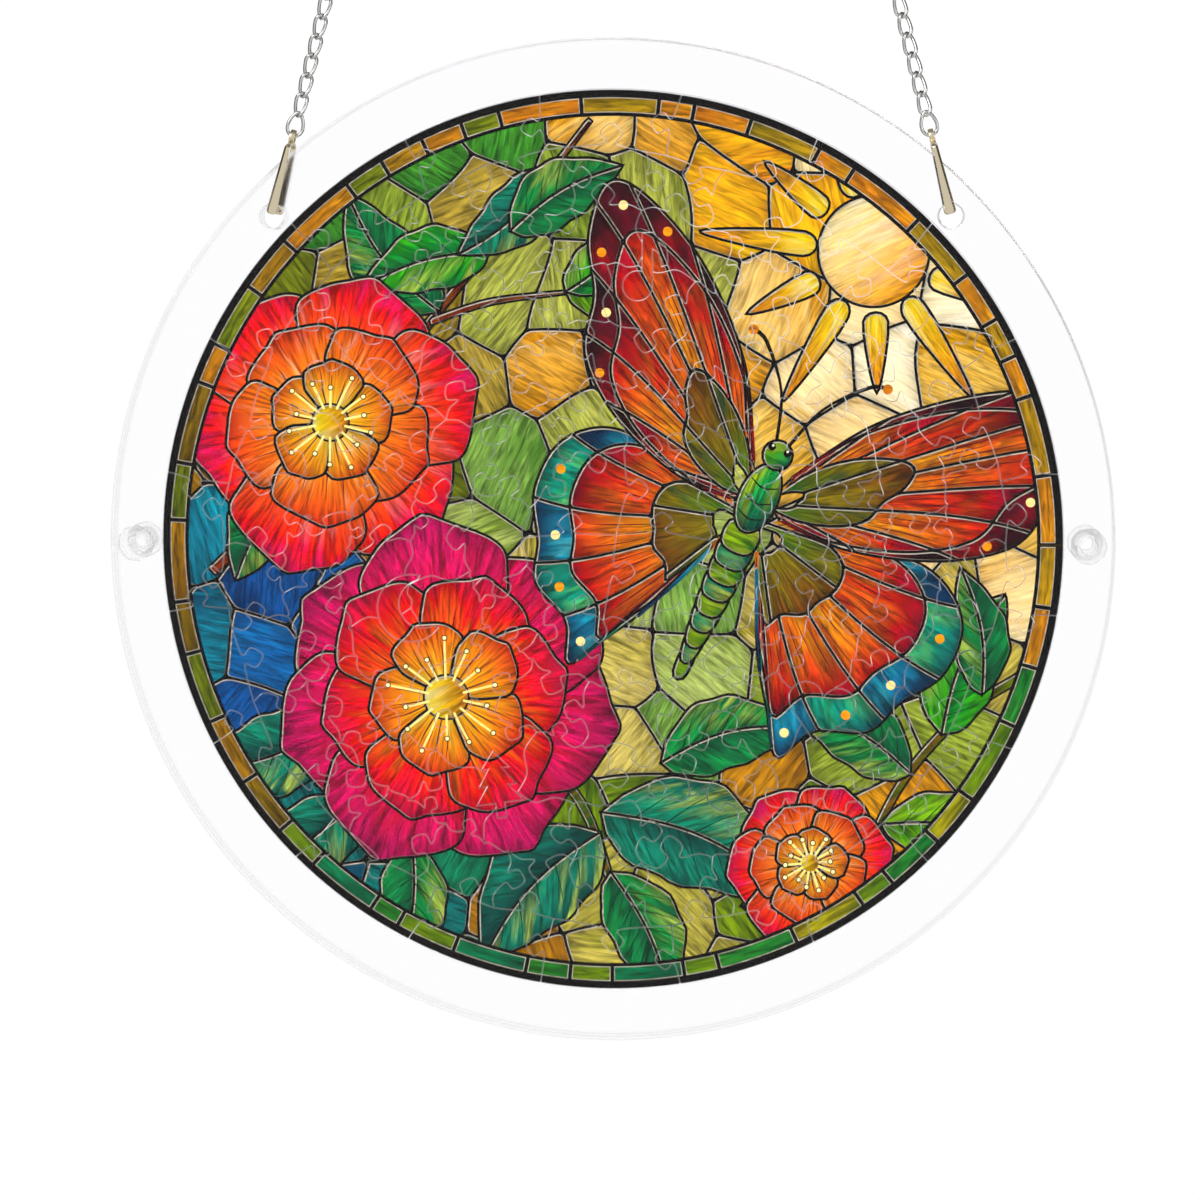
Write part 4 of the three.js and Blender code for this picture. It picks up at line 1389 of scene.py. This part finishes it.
def corner_colours():
    """Tint, streak colour and grain place at the three corners of every triangle."""
    count = len(flat_triangles)
    tint = np.zeros((count, 3, 3))
    streak = np.zeros((count, 3, 3))
    grain = np.zeros((count, 3, 2))
    for number, shape in enumerate(shapes):
        rows = np.nonzero(flat_top == number)[0]
        if not len(rows):
            continue
        spots = flat_points[flat_triangles[rows]].reshape(-1, 2)
        axis = shape["end"] - shape["start"]
        share = np.clip((spots - shape["start"]) @ axis / max(axis @ axis, 1e-9), 0, 1)[:, None]
        colour, second = (pair[0] * (1 - share) + pair[1] * share
                          for pair in (shape["tints"], shape["streaks"]))
        if shape["shade"]:
            depth = line_distance(spots, shape["outline"])
            dark = 1 - shape["shade"] * np.exp(-depth / SHADE_REACH)[:, None]
            colour, second = colour * dark, second * dark
        if shape["fan"]:
            offset = spots - np.array(shape["fan"])
            across = FAN_STEP * np.arctan2(offset[:, 1], offset[:, 0])
            place = np.stack([np.hypot(*offset.T), across], axis=1)
        else:
            turn = math.radians(shape["grain"])
            cos, sin = math.cos(turn), math.sin(turn)
            place = spots @ np.array([[cos, -sin], [sin, cos]])
        tint[rows] = colour.reshape(-1, 3, 3)
        streak[rows] = second.reshape(-1, 3, 3)
        grain[rows] = (place + GRAIN_SHIFT * shape["seed"]).reshape(-1, 3, 2)
    return tint, streak, grain


flat_tint, flat_streak, flat_grain = corner_colours()
print("Mean tint:", flat_tint.mean(axis=(0, 1)).round(3))

# %% [markdown]
# Each piece gets two printed faces, a bevel and a bare side. Solidify and Bevel modifiers could give
# them, but not the print's own tint on the bevel. So the side is built from the edges that only one
# triangle uses, and closes round holes and notches as well.

# %% Build a printed piece
MITRE_LIMIT = 0.3


def boundary(triangles):
    """The directed edges that only one triangle uses, with that triangle's row and first corner."""
    edges = {}
    for row, triangle in enumerate(triangles):
        for k in range(3):
            edges[int(triangle[k]), int(triangle[(k + 1) % 3])] = (row, k)
    return {edge: place for edge, place in edges.items() if edge[::-1] not in edges}


def both_faces(values):
    """The values at the corners of the front triangles and, the other way round, of the back ones."""
    size = values.shape[-1]
    return values.reshape(-1, size), values[:, ::-1].reshape(-1, size)


def printed_plate(name, rows):
    triangles = flat_triangles[rows]
    used, compact = np.unique(triangles, return_inverse=True)
    compact = compact.reshape(-1, 3)
    spots = flat_points[used]
    edges = boundary(compact)
    outward = np.zeros_like(spots)
    for a, b in edges:
        step = spots[b] - spots[a]
        normal = np.array([step[1], -step[0]]) / max(np.hypot(*step), 1e-9)
        outward[a] += normal
        outward[b] += normal
    rim = np.unique([vertex for edge in edges for vertex in edge])
    outward[rim] /= np.maximum(np.linalg.norm(outward[rim], axis=1, keepdims=True), MITRE_LIMIT)
    walls = spots[rim] + outward[rim] * BEVEL
    low = {int(vertex): i for i, vertex in enumerate(rim)}
    count, depth = len(used), PUZZLE_HALF
    levels = ((spots, depth), (spots, -depth), (walls, depth - BEVEL), (walls, BEVEL - depth))
    vertices = [at(x, y, level) for places, level in levels for x, y in places]
    faces = [tuple(t) for t in compact] + [tuple(t[::-1] + count) for t in compact]
    wall_tint = []
    near, far = 2 * count, 2 * count + len(rim)
    for (a, b), (row, k) in edges.items():
        faces += [(a, near + low[a], near + low[b], b),
                  (near + low[a], far + low[a], far + low[b], near + low[b]),
                  (far + low[a], a + count, b + count, far + low[b])]
        first, second = flat_tint[rows[row], k], flat_tint[rows[row], (k + 1) % 3]
        wall_tint += [first, first, second, second] * 3
    plate = mesh_object(name, vertices, faces, [print_finish, side_finish], 30)
    mesh = plate.data
    mesh.polygons.foreach_set("material_index", [0] * (2 * len(compact)) + [1] * (3 * len(edges)))
    wall_tint = np.array(wall_tint).reshape(-1, 3)
    for attribute, values in (("tint", flat_tint), ("streak", flat_streak)):
        colours = np.concatenate([*both_faces(values[rows]), wall_tint])
        layer = mesh.color_attributes.new(attribute, "FLOAT_COLOR", "CORNER")
        layer.data.foreach_set("color", np.column_stack([colours, np.ones(len(colours))]).ravel())
    uv = np.concatenate([*both_faces(flat_grain[rows]), np.zeros((len(wall_tint), 2))])
    mesh.uv_layers.new(name="grain").data.foreach_set("uv", uv.ravel())
    return plate


# %% Build all printed pieces
field_rings = {}
for number, name in enumerate(piece_names):
    rows = np.nonzero(flat_owner == number)[0]
    if name.startswith("field_"):
        field_rings.setdefault(name.split("_")[1], []).append(rows)
        continue
    attach(printed_plate(f"printed_{name}", rows), "printed_acrylic", name)
for ring, rows in field_rings.items():
    plate = printed_plate(f"printed_pieces_of_ring_{ring}", np.concatenate(rows))
    attach(plate, "printed_acrylic", "puzzle_field")

# %% [markdown]
# ## The clear disc
#
# Two round panels hold a spacer ring between them. The CAD solids have few sides, and a modifier that
# smooths them would leave the holes as they are. So each is replaced by a circle of 240 steps with
# polished edges, with the screw holes and hanging holes in it.

# %% Panels and spacer ring
CIRCLE_STEPS = 240
SCREW_HOLE_STEPS = 32
HANGING_HOLE_STEPS = 40
PANEL_CHAMFER = 0.22
SCREW_RADIUS = 94.6
SHANK_RADIUS = 1.7
HOLE_ANGLE = 46
HOLE_RADIUS = 93.5
HANGING_HOLE_RADIUS = 2.4
screw_centres = [(-SCREW_RADIUS, 0), (SCREW_RADIUS, 0)]
hole_centres = [polar(HOLE_RADIUS, 90 + HOLE_ANGLE), polar(HOLE_RADIUS, 90 - HOLE_ANGLE)]
holes = [circle(SHANK_RADIUS + GAP, SCREW_HOLE_STEPS, *centre) for centre in screw_centres]
holes += [circle(HANGING_HOLE_RADIUS, HANGING_HOLE_STEPS, *centre) for centre in hole_centres]


def clear_plate(name, node, cut_outs):
    low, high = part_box(node)
    vertices, faces, flat_count = slab(circle(DISC_RADIUS, CIRCLE_STEPS), cut_outs, -low[1] / MM,
                                       -high[1] / MM, PANEL_CHAMFER)
    plate = mesh_object(name, vertices, faces, [acrylic_face, acrylic_edge], 20)
    kinds = [1] * (len(faces) - flat_count) + [0] * flat_count
    plate.data.polygons.foreach_set("material_index", kinds)
    attach(plate, "clear_acrylic", node)


opening = circle(DISC_RADIUS - RIM_WIDTH, CIRCLE_STEPS)
clear_plate("polished_front_panel", "front_panel", holes)
clear_plate("polished_back_panel", "back_panel", holes)
clear_plate("polished_frame_ring", "frame_ring", [opening, *holes])

# %% [markdown]
# ## Screws and nuts
#
# Turned shapes are drawn as half a section and spun. The Screw modifier does that too, but would leave
# the head's rim round. It is very slightly wavy here, so that fingers can turn it: each point of the
# section says how much of the wave it takes. The face has a shallow dish with a rounded boss, as a
# moulded thumb screw has. The nut is the same shape with a bore through it.

# %% Spun shapes with a fluted rim
HEAD_RADIUS = 3.6
HEAD_HEIGHT = 2.2
FLUTE_DEPTH = 0.1
FLUTE_COUNT = 9
SPIN_STEPS = 108


def spun(section, centre, name, flip=False):
    """A closed section of (radius, depth, flute share) points, spun about an axis through the disc."""
    vertices = []
    for step in range(SPIN_STEPS):
        angle = 360 * step / SPIN_STEPS
        wave = FLUTE_DEPTH * (0.5 - 0.5 * math.cos(math.radians(angle * FLUTE_COUNT)))
        for radius, depth, share in section:
            x, y = polar(radius - share * wave, angle)
            vertices.append(at(centre[0] + x, centre[1] + y, -depth if flip else depth))
    quads = bands(SPIN_STEPS, len(section), closed=True)
    spin = mesh_object(name, vertices, [quad[::-1] for quad in quads] if flip else quads, [plastic], 40)
    weld(spin)
    return spin


def weld(piece):
    """Merges doubles and turns all faces outwards."""
    shell = bmesh.new()
    shell.from_mesh(piece.data)
    bmesh.ops.remove_doubles(shell, verts=shell.verts, dist=1e-6)
    bmesh.ops.dissolve_degenerate(shell, edges=shell.edges, dist=1e-7)
    bmesh.ops.recalc_face_normals(shell, faces=shell.faces)
    shell.to_mesh(piece.data)
    shell.free()


print("Fluted rims:", FLUTE_COUNT, "flutes,", FLUTE_DEPTH, "mm deep")

# %% Screws and nuts
stack_half = -panel_low[1] / MM
head_face = stack_half + GAP
head_top = head_face + HEAD_HEIGHT
shank_end = -(head_face + 0.75 * HEAD_HEIGHT)
bore = SHANK_RADIUS + GAP
rim_section = [
    (HEAD_RADIUS - 0.35, head_face, 1), (HEAD_RADIUS - 0.08, head_face + 0.15, 1),
    (HEAD_RADIUS, head_face + 0.4, 1), (HEAD_RADIUS, head_top - 0.6, 1),
    (HEAD_RADIUS - 0.12, head_top - 0.25, 1), (HEAD_RADIUS - 0.4, head_top - 0.05, 1),
    (HEAD_RADIUS - 0.7, head_top, 0.6), (HEAD_RADIUS - 1.05, head_top, 0),
    (HEAD_RADIUS - 1.3, head_top - 0.3, 0)]
screw_section = [
    (0, shank_end, 0), (SHANK_RADIUS - 0.3, shank_end, 0), (SHANK_RADIUS, shank_end + 0.3, 0),
    (SHANK_RADIUS, head_face, 0), *rim_section, (2.0, head_top - 0.5, 0), (1.7, head_top - 0.5, 0),
    (1.45, head_top - 0.25, 0), (1.1, head_top - 0.12, 0), (0, head_top - 0.1, 0)]
nut_section = [
    (bore, head_face, 0), *rim_section, (bore + 0.2, head_top - 0.5, 0), (bore, head_top - 0.7, 0)]
for side, centre in zip(("left", "right"), screw_centres):
    screw = spun(screw_section, centre, f"fluted_screw_{side}")
    attach(screw, "clear_plastic", f"screw_{side}")
    nut = spun(nut_section, centre, f"fluted_nut_{side}", flip=True)
    attach(nut, "clear_plastic", f"nut_{side}")

# %% [markdown]
# ## What hangs the disc
#
# On each side a bail, an end link, a chain and a jump ring lie on one straight run from the hanging
# hole to the middle of the ring on top. A free-hanging chain would be a curve, but the disc's weight
# pulls this one straight. The run has a frame of its own, with +Y along it, so that each part of it is
# made once and placed twice.

# %% The run's frame
ring_box_low, ring_box_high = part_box("hanging_ring")
ring_middle = (0.0, ((ring_box_low[2] + ring_box_high[2]) / 2 - DISC_HEIGHT) / MM)
right_hole = hole_centres[1]
lean = math.atan2(right_hole[0], ring_middle[1] - right_hole[1])
run_length = math.dist(ring_middle, right_hole)
SIDES = ((-1, "left"), (1, "right"))


def on_run(side):
    """A function that carries a point of the left (-1) or right (1) run into the frame."""
    hole = hole_centres[0 if side < 0 else 1]
    cos, sin = math.cos(side * lean), math.sin(side * lean)

    def place(x, y, depth=0.0):
        return at(hole[0] + x * cos - y * sin, hole[1] + x * sin + y * cos, depth)
    return place


print("Each run is", round(run_length, 1), "mm long and leans", round(math.degrees(lean), 1), "degrees")

# %% [markdown]
# Rings and links are wire bent round a closed path. A curve object with a bevel would do, but its tube
# may twist where a path bends sharply. So the tube is swept by hand: at each step of the path a small
# circle stands square to it, and one direction that is the same all along keeps it from twisting.

# %% Swept wire
def wire_piece(name, path, axis, radius, place, node, sides=12):
    """A closed tube round a flat path. The axis stands square to the path's plane."""
    vertices = []
    for i, point in enumerate(path):
        tangent = (path[(i + 1) % len(path)] - path[i - 1]).normalized()
        across = tangent.cross(axis).normalized()
        up = across.cross(tangent)
        for k in range(sides):
            angle = 2 * math.pi * k / sides
            vertices.append(place(*(point + radius * (math.cos(angle) * across + math.sin(angle) * up))))
    ring = mesh_object(name, vertices, bands(len(path), sides, closed=True), [chain_plating], 60)
    weld(ring)
    attach(ring, "steel", node)


# %% [markdown]
# The hanging ring is closed wire. The jump ring stands edge-on, so that it joins the chain to the
# hanging ring. The end link is wide at its foot and narrow at its head. A torus would do for the first
# two, but all three are made as one kind of swept wire, from a path each.

# %% Rings and end links
WIRE_STEPS = 96
RING_OPENING = 12
RING_WIRE = 1.6
JUMP_RING_WIRE = 0.8
JUMP_REACH = 2.4
END_LINK_LENGTH = 5.4
END_LINK_WIDTH = 3.7
END_LINK_WIRE = 0.7
END_LINK_TAPER = 0.28
CHAIN_WIRE = 0.6
STRIP_THICKNESS = 0.6
ARCH_RISE = 0.8
EYE_RADIUS = 0.95
FOOT_WIDTH = 2.2
NECK_WIDTH = 1.1
PRONG_RADIUS = 0.6
ring_reach = (RING_OPENING + RING_WIRE) / 2
turns = [2 * math.pi * i / WIRE_STEPS for i in range(WIRE_STEPS)]
depth_axis = Vector((0, 0, 1))
side_axis = Vector((1, 0, 0))
ring_path = [Vector((ring_reach * math.cos(a), ring_reach * math.sin(a), 0)) for a in turns]
wire_piece("polished_hanging_ring", ring_path, depth_axis, RING_WIRE / 2,
           lambda x, y, depth: at(ring_middle[0] + x, ring_middle[1] + y, depth), "hanging_ring", 16)


def edge_reach():
    """How far along the run the disc's edge reaches under the bail."""
    hole = Vector(right_hole)
    along = Vector((-math.sin(lean), math.cos(lean)))
    across = Vector((along.y, -along.x))
    reaches = []
    for share in (-0.5, 0.5):
        start = hole + share * FOOT_WIDTH * across
        run = start.dot(along)
        reaches.append(math.sqrt(run * run + DISC_RADIUS ** 2 - start.length_squared) - run)
    return max(reaches)


shoulder = edge_reach() + GAP
eye_place = shoulder + ARCH_RISE + STRIP_THICKNESS + EYE_RADIUS
link_foot = eye_place + EYE_RADIUS - END_LINK_WIRE / 2 - GAP
link_head = link_foot + END_LINK_LENGTH - END_LINK_WIRE
jump_place = run_length - ring_reach + (RING_WIRE + JUMP_RING_WIRE) / 2 + GAP - JUMP_REACH
half_length = (END_LINK_LENGTH - END_LINK_WIRE) / 2
half_width = (END_LINK_WIDTH - END_LINK_WIRE) / 2
link_path = [Vector((half_width * (1 - END_LINK_TAPER * math.sin(a)) * math.cos(a),
                     link_foot + half_length + half_length * math.sin(a), 0)) for a in turns]
jump_path = [Vector((0, jump_place + JUMP_REACH * math.sin(a), JUMP_REACH * math.cos(a))) for a in turns]
for side, name in SIDES:
    wire_piece(f"bent_end_link_{name}", link_path, depth_axis, END_LINK_WIRE / 2, on_run(side),
               f"end_link_{name}")
    wire_piece(f"bent_jump_ring_{name}", jump_path, side_axis, JUMP_RING_WIRE / 2, on_run(side),
               f"jump_ring_{name}")

# %% [markdown]
# A bail is one strip of metal: a leg on each face of the disc, an arch over its edge, an eye on top
# for the end link, and two prongs that pinch into the hanging hole. Solidify on a flat strip would
# give it one thickness and square edges. But it tapers from foot to neck, its inner edge is rounded
# and its outer edge is folded down, which shows as a dark line beside the bright face. So a section
# is swept along the strip's middle line, and takes its width from there.

# %% The bail's strip
LEG_DEPTH = stack_half + GAP + STRIP_THICKNESS / 2
PRONG_PLACE = HANGING_HOLE_RADIUS - PRONG_RADIUS - GAP
STRIP_FOOT = PRONG_PLACE - FOOT_WIDTH / 2
FOLD_WIDTH = 0.45
FOLD_DEPTH = 0.5
EDGE_ROUND = 0.14
LEG_STEPS = 14
FOOT_STEPS = 8
ARCH_STEPS = 24


def strip_width(y):
    """The strip narrows in a slight curve from its foot to its neck."""
    rise = min(1, max(0, (y - STRIP_FOOT) / (shoulder - STRIP_FOOT)))
    return FOOT_WIDTH + (NECK_WIDTH - FOOT_WIDTH) * rise ** 0.85


def strip_line():
    """The middle line of the legs and the arch, as (y, depth, width) from the front foot to the back."""
    leg = []
    for i in range(FOOT_STEPS + 1):
        angle = math.pi / 2 * i / FOOT_STEPS
        y = STRIP_FOOT + FOOT_WIDTH * 0.45 * (1 - math.cos(angle))
        leg.append((y, LEG_DEPTH, max(0.7, strip_width(y) * math.sin(angle) ** 0.6)))
    leg += [(y, LEG_DEPTH, strip_width(y)) for y in np.linspace(STRIP_FOOT + 1.2, shoulder, LEG_STEPS)]
    rise = ARCH_RISE + STRIP_THICKNESS / 2
    arch = [(shoulder + rise * math.sin(a), LEG_DEPTH * math.cos(a), NECK_WIDTH)
            for a in np.linspace(0, math.pi, ARCH_STEPS + 1)[1:-1]]
    return leg + arch + [(y, -depth, width) for y, depth, width in reversed(leg)]


def strip_section(width, fold=0):
    """A flat section with rounded edges, as (across, out) points. Its outer edge may be folded down."""
    half, thick = width / 2, STRIP_THICKNESS / 2
    corners = ((half, thick), (-half, thick), (-half, -thick), (half, -thick))
    points = []
    for k, (x, z) in enumerate(corners):
        if z > 0 and x * fold > 0:
            slope = [(x, z - FOLD_DEPTH), (x - fold * 0.02, z - FOLD_DEPTH + 0.02),
                     (x - fold * FOLD_WIDTH, z)]
            points += slope if fold > 0 else slope[::-1]
            continue
        for step in range(3):
            turn = math.radians(90 * k + 45 * step)
            points.append((x - math.copysign(EDGE_ROUND, x) + EDGE_ROUND * math.cos(turn),
                           z - math.copysign(EDGE_ROUND, z) + EDGE_ROUND * math.sin(turn)))
    return points


def bail_shell(place, fold):
    line = strip_line()
    vertices = []
    for i, (y, depth, width) in enumerate(line):
        before, after = line[max(i - 1, 0)], line[min(i + 1, len(line) - 1)]
        along = Vector((0, after[0] - before[0], after[1] - before[1])).normalized()
        out = side_axis.cross(along)
        for across, thick in strip_section(width, fold):
            vertices.append(place(*(Vector((across, y, depth)) + out * thick)))
    count = len(vertices) // len(line)
    ends = [tuple(range(count))[::-1], tuple(range(len(vertices) - count, len(vertices)))]
    return vertices, bands(len(line), count) + ends


print("The strip's middle line has", len(strip_line()), "points, its section", len(strip_section(1)))

# %% [markdown]
# The eye is a closed band round the end link's foot, and each prong a cone with a round tip. On the
# real bail they are bent and drawn from the same strip. Joining them with a Boolean would cost much
# time for a seam that the arch and the legs hide, so they are shells that reach into the strip.

# %% Eye, prongs and whole bails
EYE_STEPS = 48
PRONG_SIDES = 24
# The prong's radius and depth, from the leg to the tip.
PRONG_PROFILE = ((PRONG_RADIUS * 1.25, LEG_DEPTH), (PRONG_RADIUS, LEG_DEPTH - 0.5),
                 (PRONG_RADIUS * 0.55, 1.3), (PRONG_RADIUS * 0.4, 1.0), (PRONG_RADIUS * 0.15, 0.85))


def add_eye_and_prongs(vertices, faces, place):
    section = strip_section(NECK_WIDTH)
    start = len(vertices)
    for i in range(EYE_STEPS):
        angle = 2 * math.pi * i / EYE_STEPS
        for across, thick in section:
            reach = EYE_RADIUS + STRIP_THICKNESS / 2 + thick
            vertices.append(place(across, eye_place + reach * math.cos(angle), reach * math.sin(angle)))
    faces += bands(EYE_STEPS, len(section), closed=True, start=start)
    for side in (-1, 1):
        start = len(vertices)
        for radius, depth in PRONG_PROFILE:
            for x, y in circle(radius, PRONG_SIDES):
                vertices.append(place(x, PRONG_PLACE + y, side * depth))
        faces += bands(len(PRONG_PROFILE), PRONG_SIDES, start=start)
        faces.append(tuple(range(start, start + PRONG_SIDES)))
        faces.append(tuple(range(len(vertices) - PRONG_SIDES, len(vertices)))[::-1])


for side, name in SIDES:
    shell_vertices, shell_faces = bail_shell(on_run(side), side)
    add_eye_and_prongs(shell_vertices, shell_faces, on_run(side))
    bail = mesh_object(f"pinch_bail_{name}", shell_vertices, shell_faces, [bail_plating], 40)
    weld(bail)
    attach(bail, "steel", f"bail_{name}")

# %% [markdown]
# ## The chains
#
# A curb chain is one link repeated. Each link is an oval of wire, twisted a quarter turn from end to
# end, so that it hooks square into the next one. An Array modifier could repeat it, but Geometry Nodes
# make the link itself as well, from named sizes. The link is drawn once, a row of points gives the
# places, and every link is an instance until the last steps turn the row into a plain mesh.

# %% The chain's node tree
CHAIN_PITCH = 4.0
LINK_WIDTH = 2.9
LINK_WIRE = 0.72
LINK_SIDES = 8
LINK_STEPS = 28
LINK_FULLNESS = 1.18  # more than 1 flattens the oval's long sides
LINK_TWIST = 45  # degrees, each way from the link's middle


def chain_tree():
    tree = bpy.data.node_groups.new("curb chain", "GeometryNodeTree")
    sockets = tree.interface
    kinds = {"Links": "Int", "Step": "Float", "Length": "Float", "Width": "Float", "Wire": "Float",
             "Start": "Vector", "Along": "Vector", "Finish": "Material"}
    for name, kind in kinds.items():
        sockets.new_socket(name, in_out="INPUT", socket_type=f"NodeSocket{kind}")
    sockets.new_socket("Chain", in_out="OUTPUT", socket_type="NodeSocketGeometry")
    given = add(tree, "NodeGroupInput").outputs

    oval = add(tree, "GeometryNodeCurvePrimitiveCircle", inputs={"Resolution": LINK_STEPS, "Radius": 1.0})
    place = add(tree, "GeometryNodeInputPosition")
    split = add(tree, "ShaderNodeSeparateXYZ", inputs={"Vector": place.outputs["Position"]})
    fuller = add(tree, "ShaderNodeMath", {"operation": "MULTIPLY"}, {
        0: split.outputs["X"], 1: LINK_FULLNESS})
    low = add(tree, "ShaderNodeMath", {"operation": "MAXIMUM"}, {0: fuller.outputs[0], 1: -1.0})
    flat_side = add(tree, "ShaderNodeMath", {"operation": "MINIMUM"}, {0: low.outputs[0], 1: 1.0})
    x = add(tree, "ShaderNodeMath", {"operation": "MULTIPLY"}, {0: flat_side.outputs[0], 1: given["Width"]})
    y = add(tree, "ShaderNodeMath", {"operation": "MULTIPLY"}, {0: split.outputs["Y"], 1: given["Length"]})
    stretched = add(tree, "ShaderNodeCombineXYZ", inputs={"X": x.outputs[0], "Y": y.outputs[0]})
    halved = add(tree, "ShaderNodeVectorMath", {"operation": "SCALE"}, {
        0: stretched.outputs[0], "Scale": 0.5})
    turn = add(tree, "ShaderNodeMath", {"operation": "MULTIPLY"}, {
        0: split.outputs["Y"], 1: math.radians(LINK_TWIST)})
    twisted = add(tree, "ShaderNodeVectorRotate", {"rotation_type": "Y_AXIS"}, {
        "Vector": halved.outputs["Vector"], "Angle": turn.outputs[0]})
    path = add(tree, "GeometryNodeSetPosition", inputs={
        "Geometry": oval.outputs["Curve"], "Position": twisted.outputs["Vector"]})
    radius = add(tree, "ShaderNodeMath", {"operation": "MULTIPLY"}, {0: given["Wire"], 1: 0.5})
    section = add(tree, "GeometryNodeCurvePrimitiveCircle", inputs={
        "Resolution": LINK_SIDES, "Radius": radius.outputs[0]})
    link = add(tree, "GeometryNodeCurveToMesh", inputs={
        "Curve": path.outputs["Geometry"], "Profile Curve": section.outputs["Curve"]})

    step = add(tree, "ShaderNodeVectorMath", {"operation": "SCALE"}, {
        0: given["Along"], "Scale": given["Step"]})
    row = add(tree, "GeometryNodeMeshLine", inputs={
        "Count": given["Links"], "Start Location": given["Start"], "Offset": step.outputs["Vector"]})
    facing = add(tree, "FunctionNodeAlignRotationToVector", {"axis": "Y"}, {"Vector": given["Along"]})
    links = add(tree, "GeometryNodeInstanceOnPoints", inputs={
        "Points": row.outputs["Mesh"], "Instance": link.outputs["Mesh"],
        "Rotation": facing.outputs["Rotation"]})
    solid = add(tree, "GeometryNodeRealizeInstances", inputs={"Geometry": links.outputs["Instances"]})
    shaded = add(tree, "GeometryNodeSetShadeSmooth", inputs={"Geometry": solid.outputs["Geometry"]})
    finished = add(tree, "GeometryNodeSetMaterial", inputs={
        "Geometry": shaded.outputs["Geometry"], "Material": given["Finish"]})
    add(tree, "NodeGroupOutput", inputs={"Chain": finished.outputs["Geometry"]})
    return tree


curb = chain_tree()
print("The chain's tree has", len(curb.nodes), "nodes")

# %% [markdown]
# The same tree grows both chains. Its modifier could stay live, but the frame's tools want plain
# meshes, so a holder object evaluates the tree, its result is kept as a mesh, and the holder goes. The
# links fill the run between the end link and the jump ring, and their number follows from its length.

# %% Chains from the tree
def grown(name, tree, values):
    """A plain mesh object from a node tree and its named inputs."""
    holder = bpy.data.objects.new(f"{name}_holder", bpy.data.meshes.new(f"{name}_holder"))
    bpy.context.scene.collection.objects.link(holder)
    modifier = holder.modifiers.new("nodes", "NODES")
    modifier.node_group = tree
    for socket in tree.interface.items_tree:
        if socket.item_type == "SOCKET" and socket.in_out == "INPUT":
            modifier[socket.identifier] = values[socket.name]
    evaluated = holder.evaluated_get(bpy.context.evaluated_depsgraph_get())
    mesh = bpy.data.meshes.new_from_object(evaluated)
    bpy.data.objects.remove(holder)
    piece = bpy.data.objects.new(name, mesh)
    bpy.context.scene.collection.objects.link(piece)
    return piece


chain_foot = link_head - END_LINK_WIRE / 2 - CHAIN_WIRE / 2
chain_head = jump_place - JUMP_REACH + JUMP_RING_WIRE / 2 + CHAIN_WIRE / 2
link_count = round((chain_head - chain_foot) / CHAIN_PITCH)
link_step = (chain_head - chain_foot - CHAIN_WIRE) / link_count
for side, name in SIDES:
    place = on_run(side)
    along = (place(0, 1) - place(0, 0)).normalized()
    chain = grown(f"curb_chain_{name}", curb, {
        "Links": link_count, "Step": link_step * MM, "Length": (link_step + LINK_WIRE) * MM,
        "Width": (LINK_WIDTH - LINK_WIRE) * MM, "Wire": LINK_WIRE * MM,
        "Start": place(0, chain_foot + (link_step + CHAIN_WIRE) / 2), "Along": along,
        "Finish": chain_plating})
    attach(chain, "steel", f"chain_{name}")
print(link_count, "links to a chain, one every", round(link_step, 2), "mm")
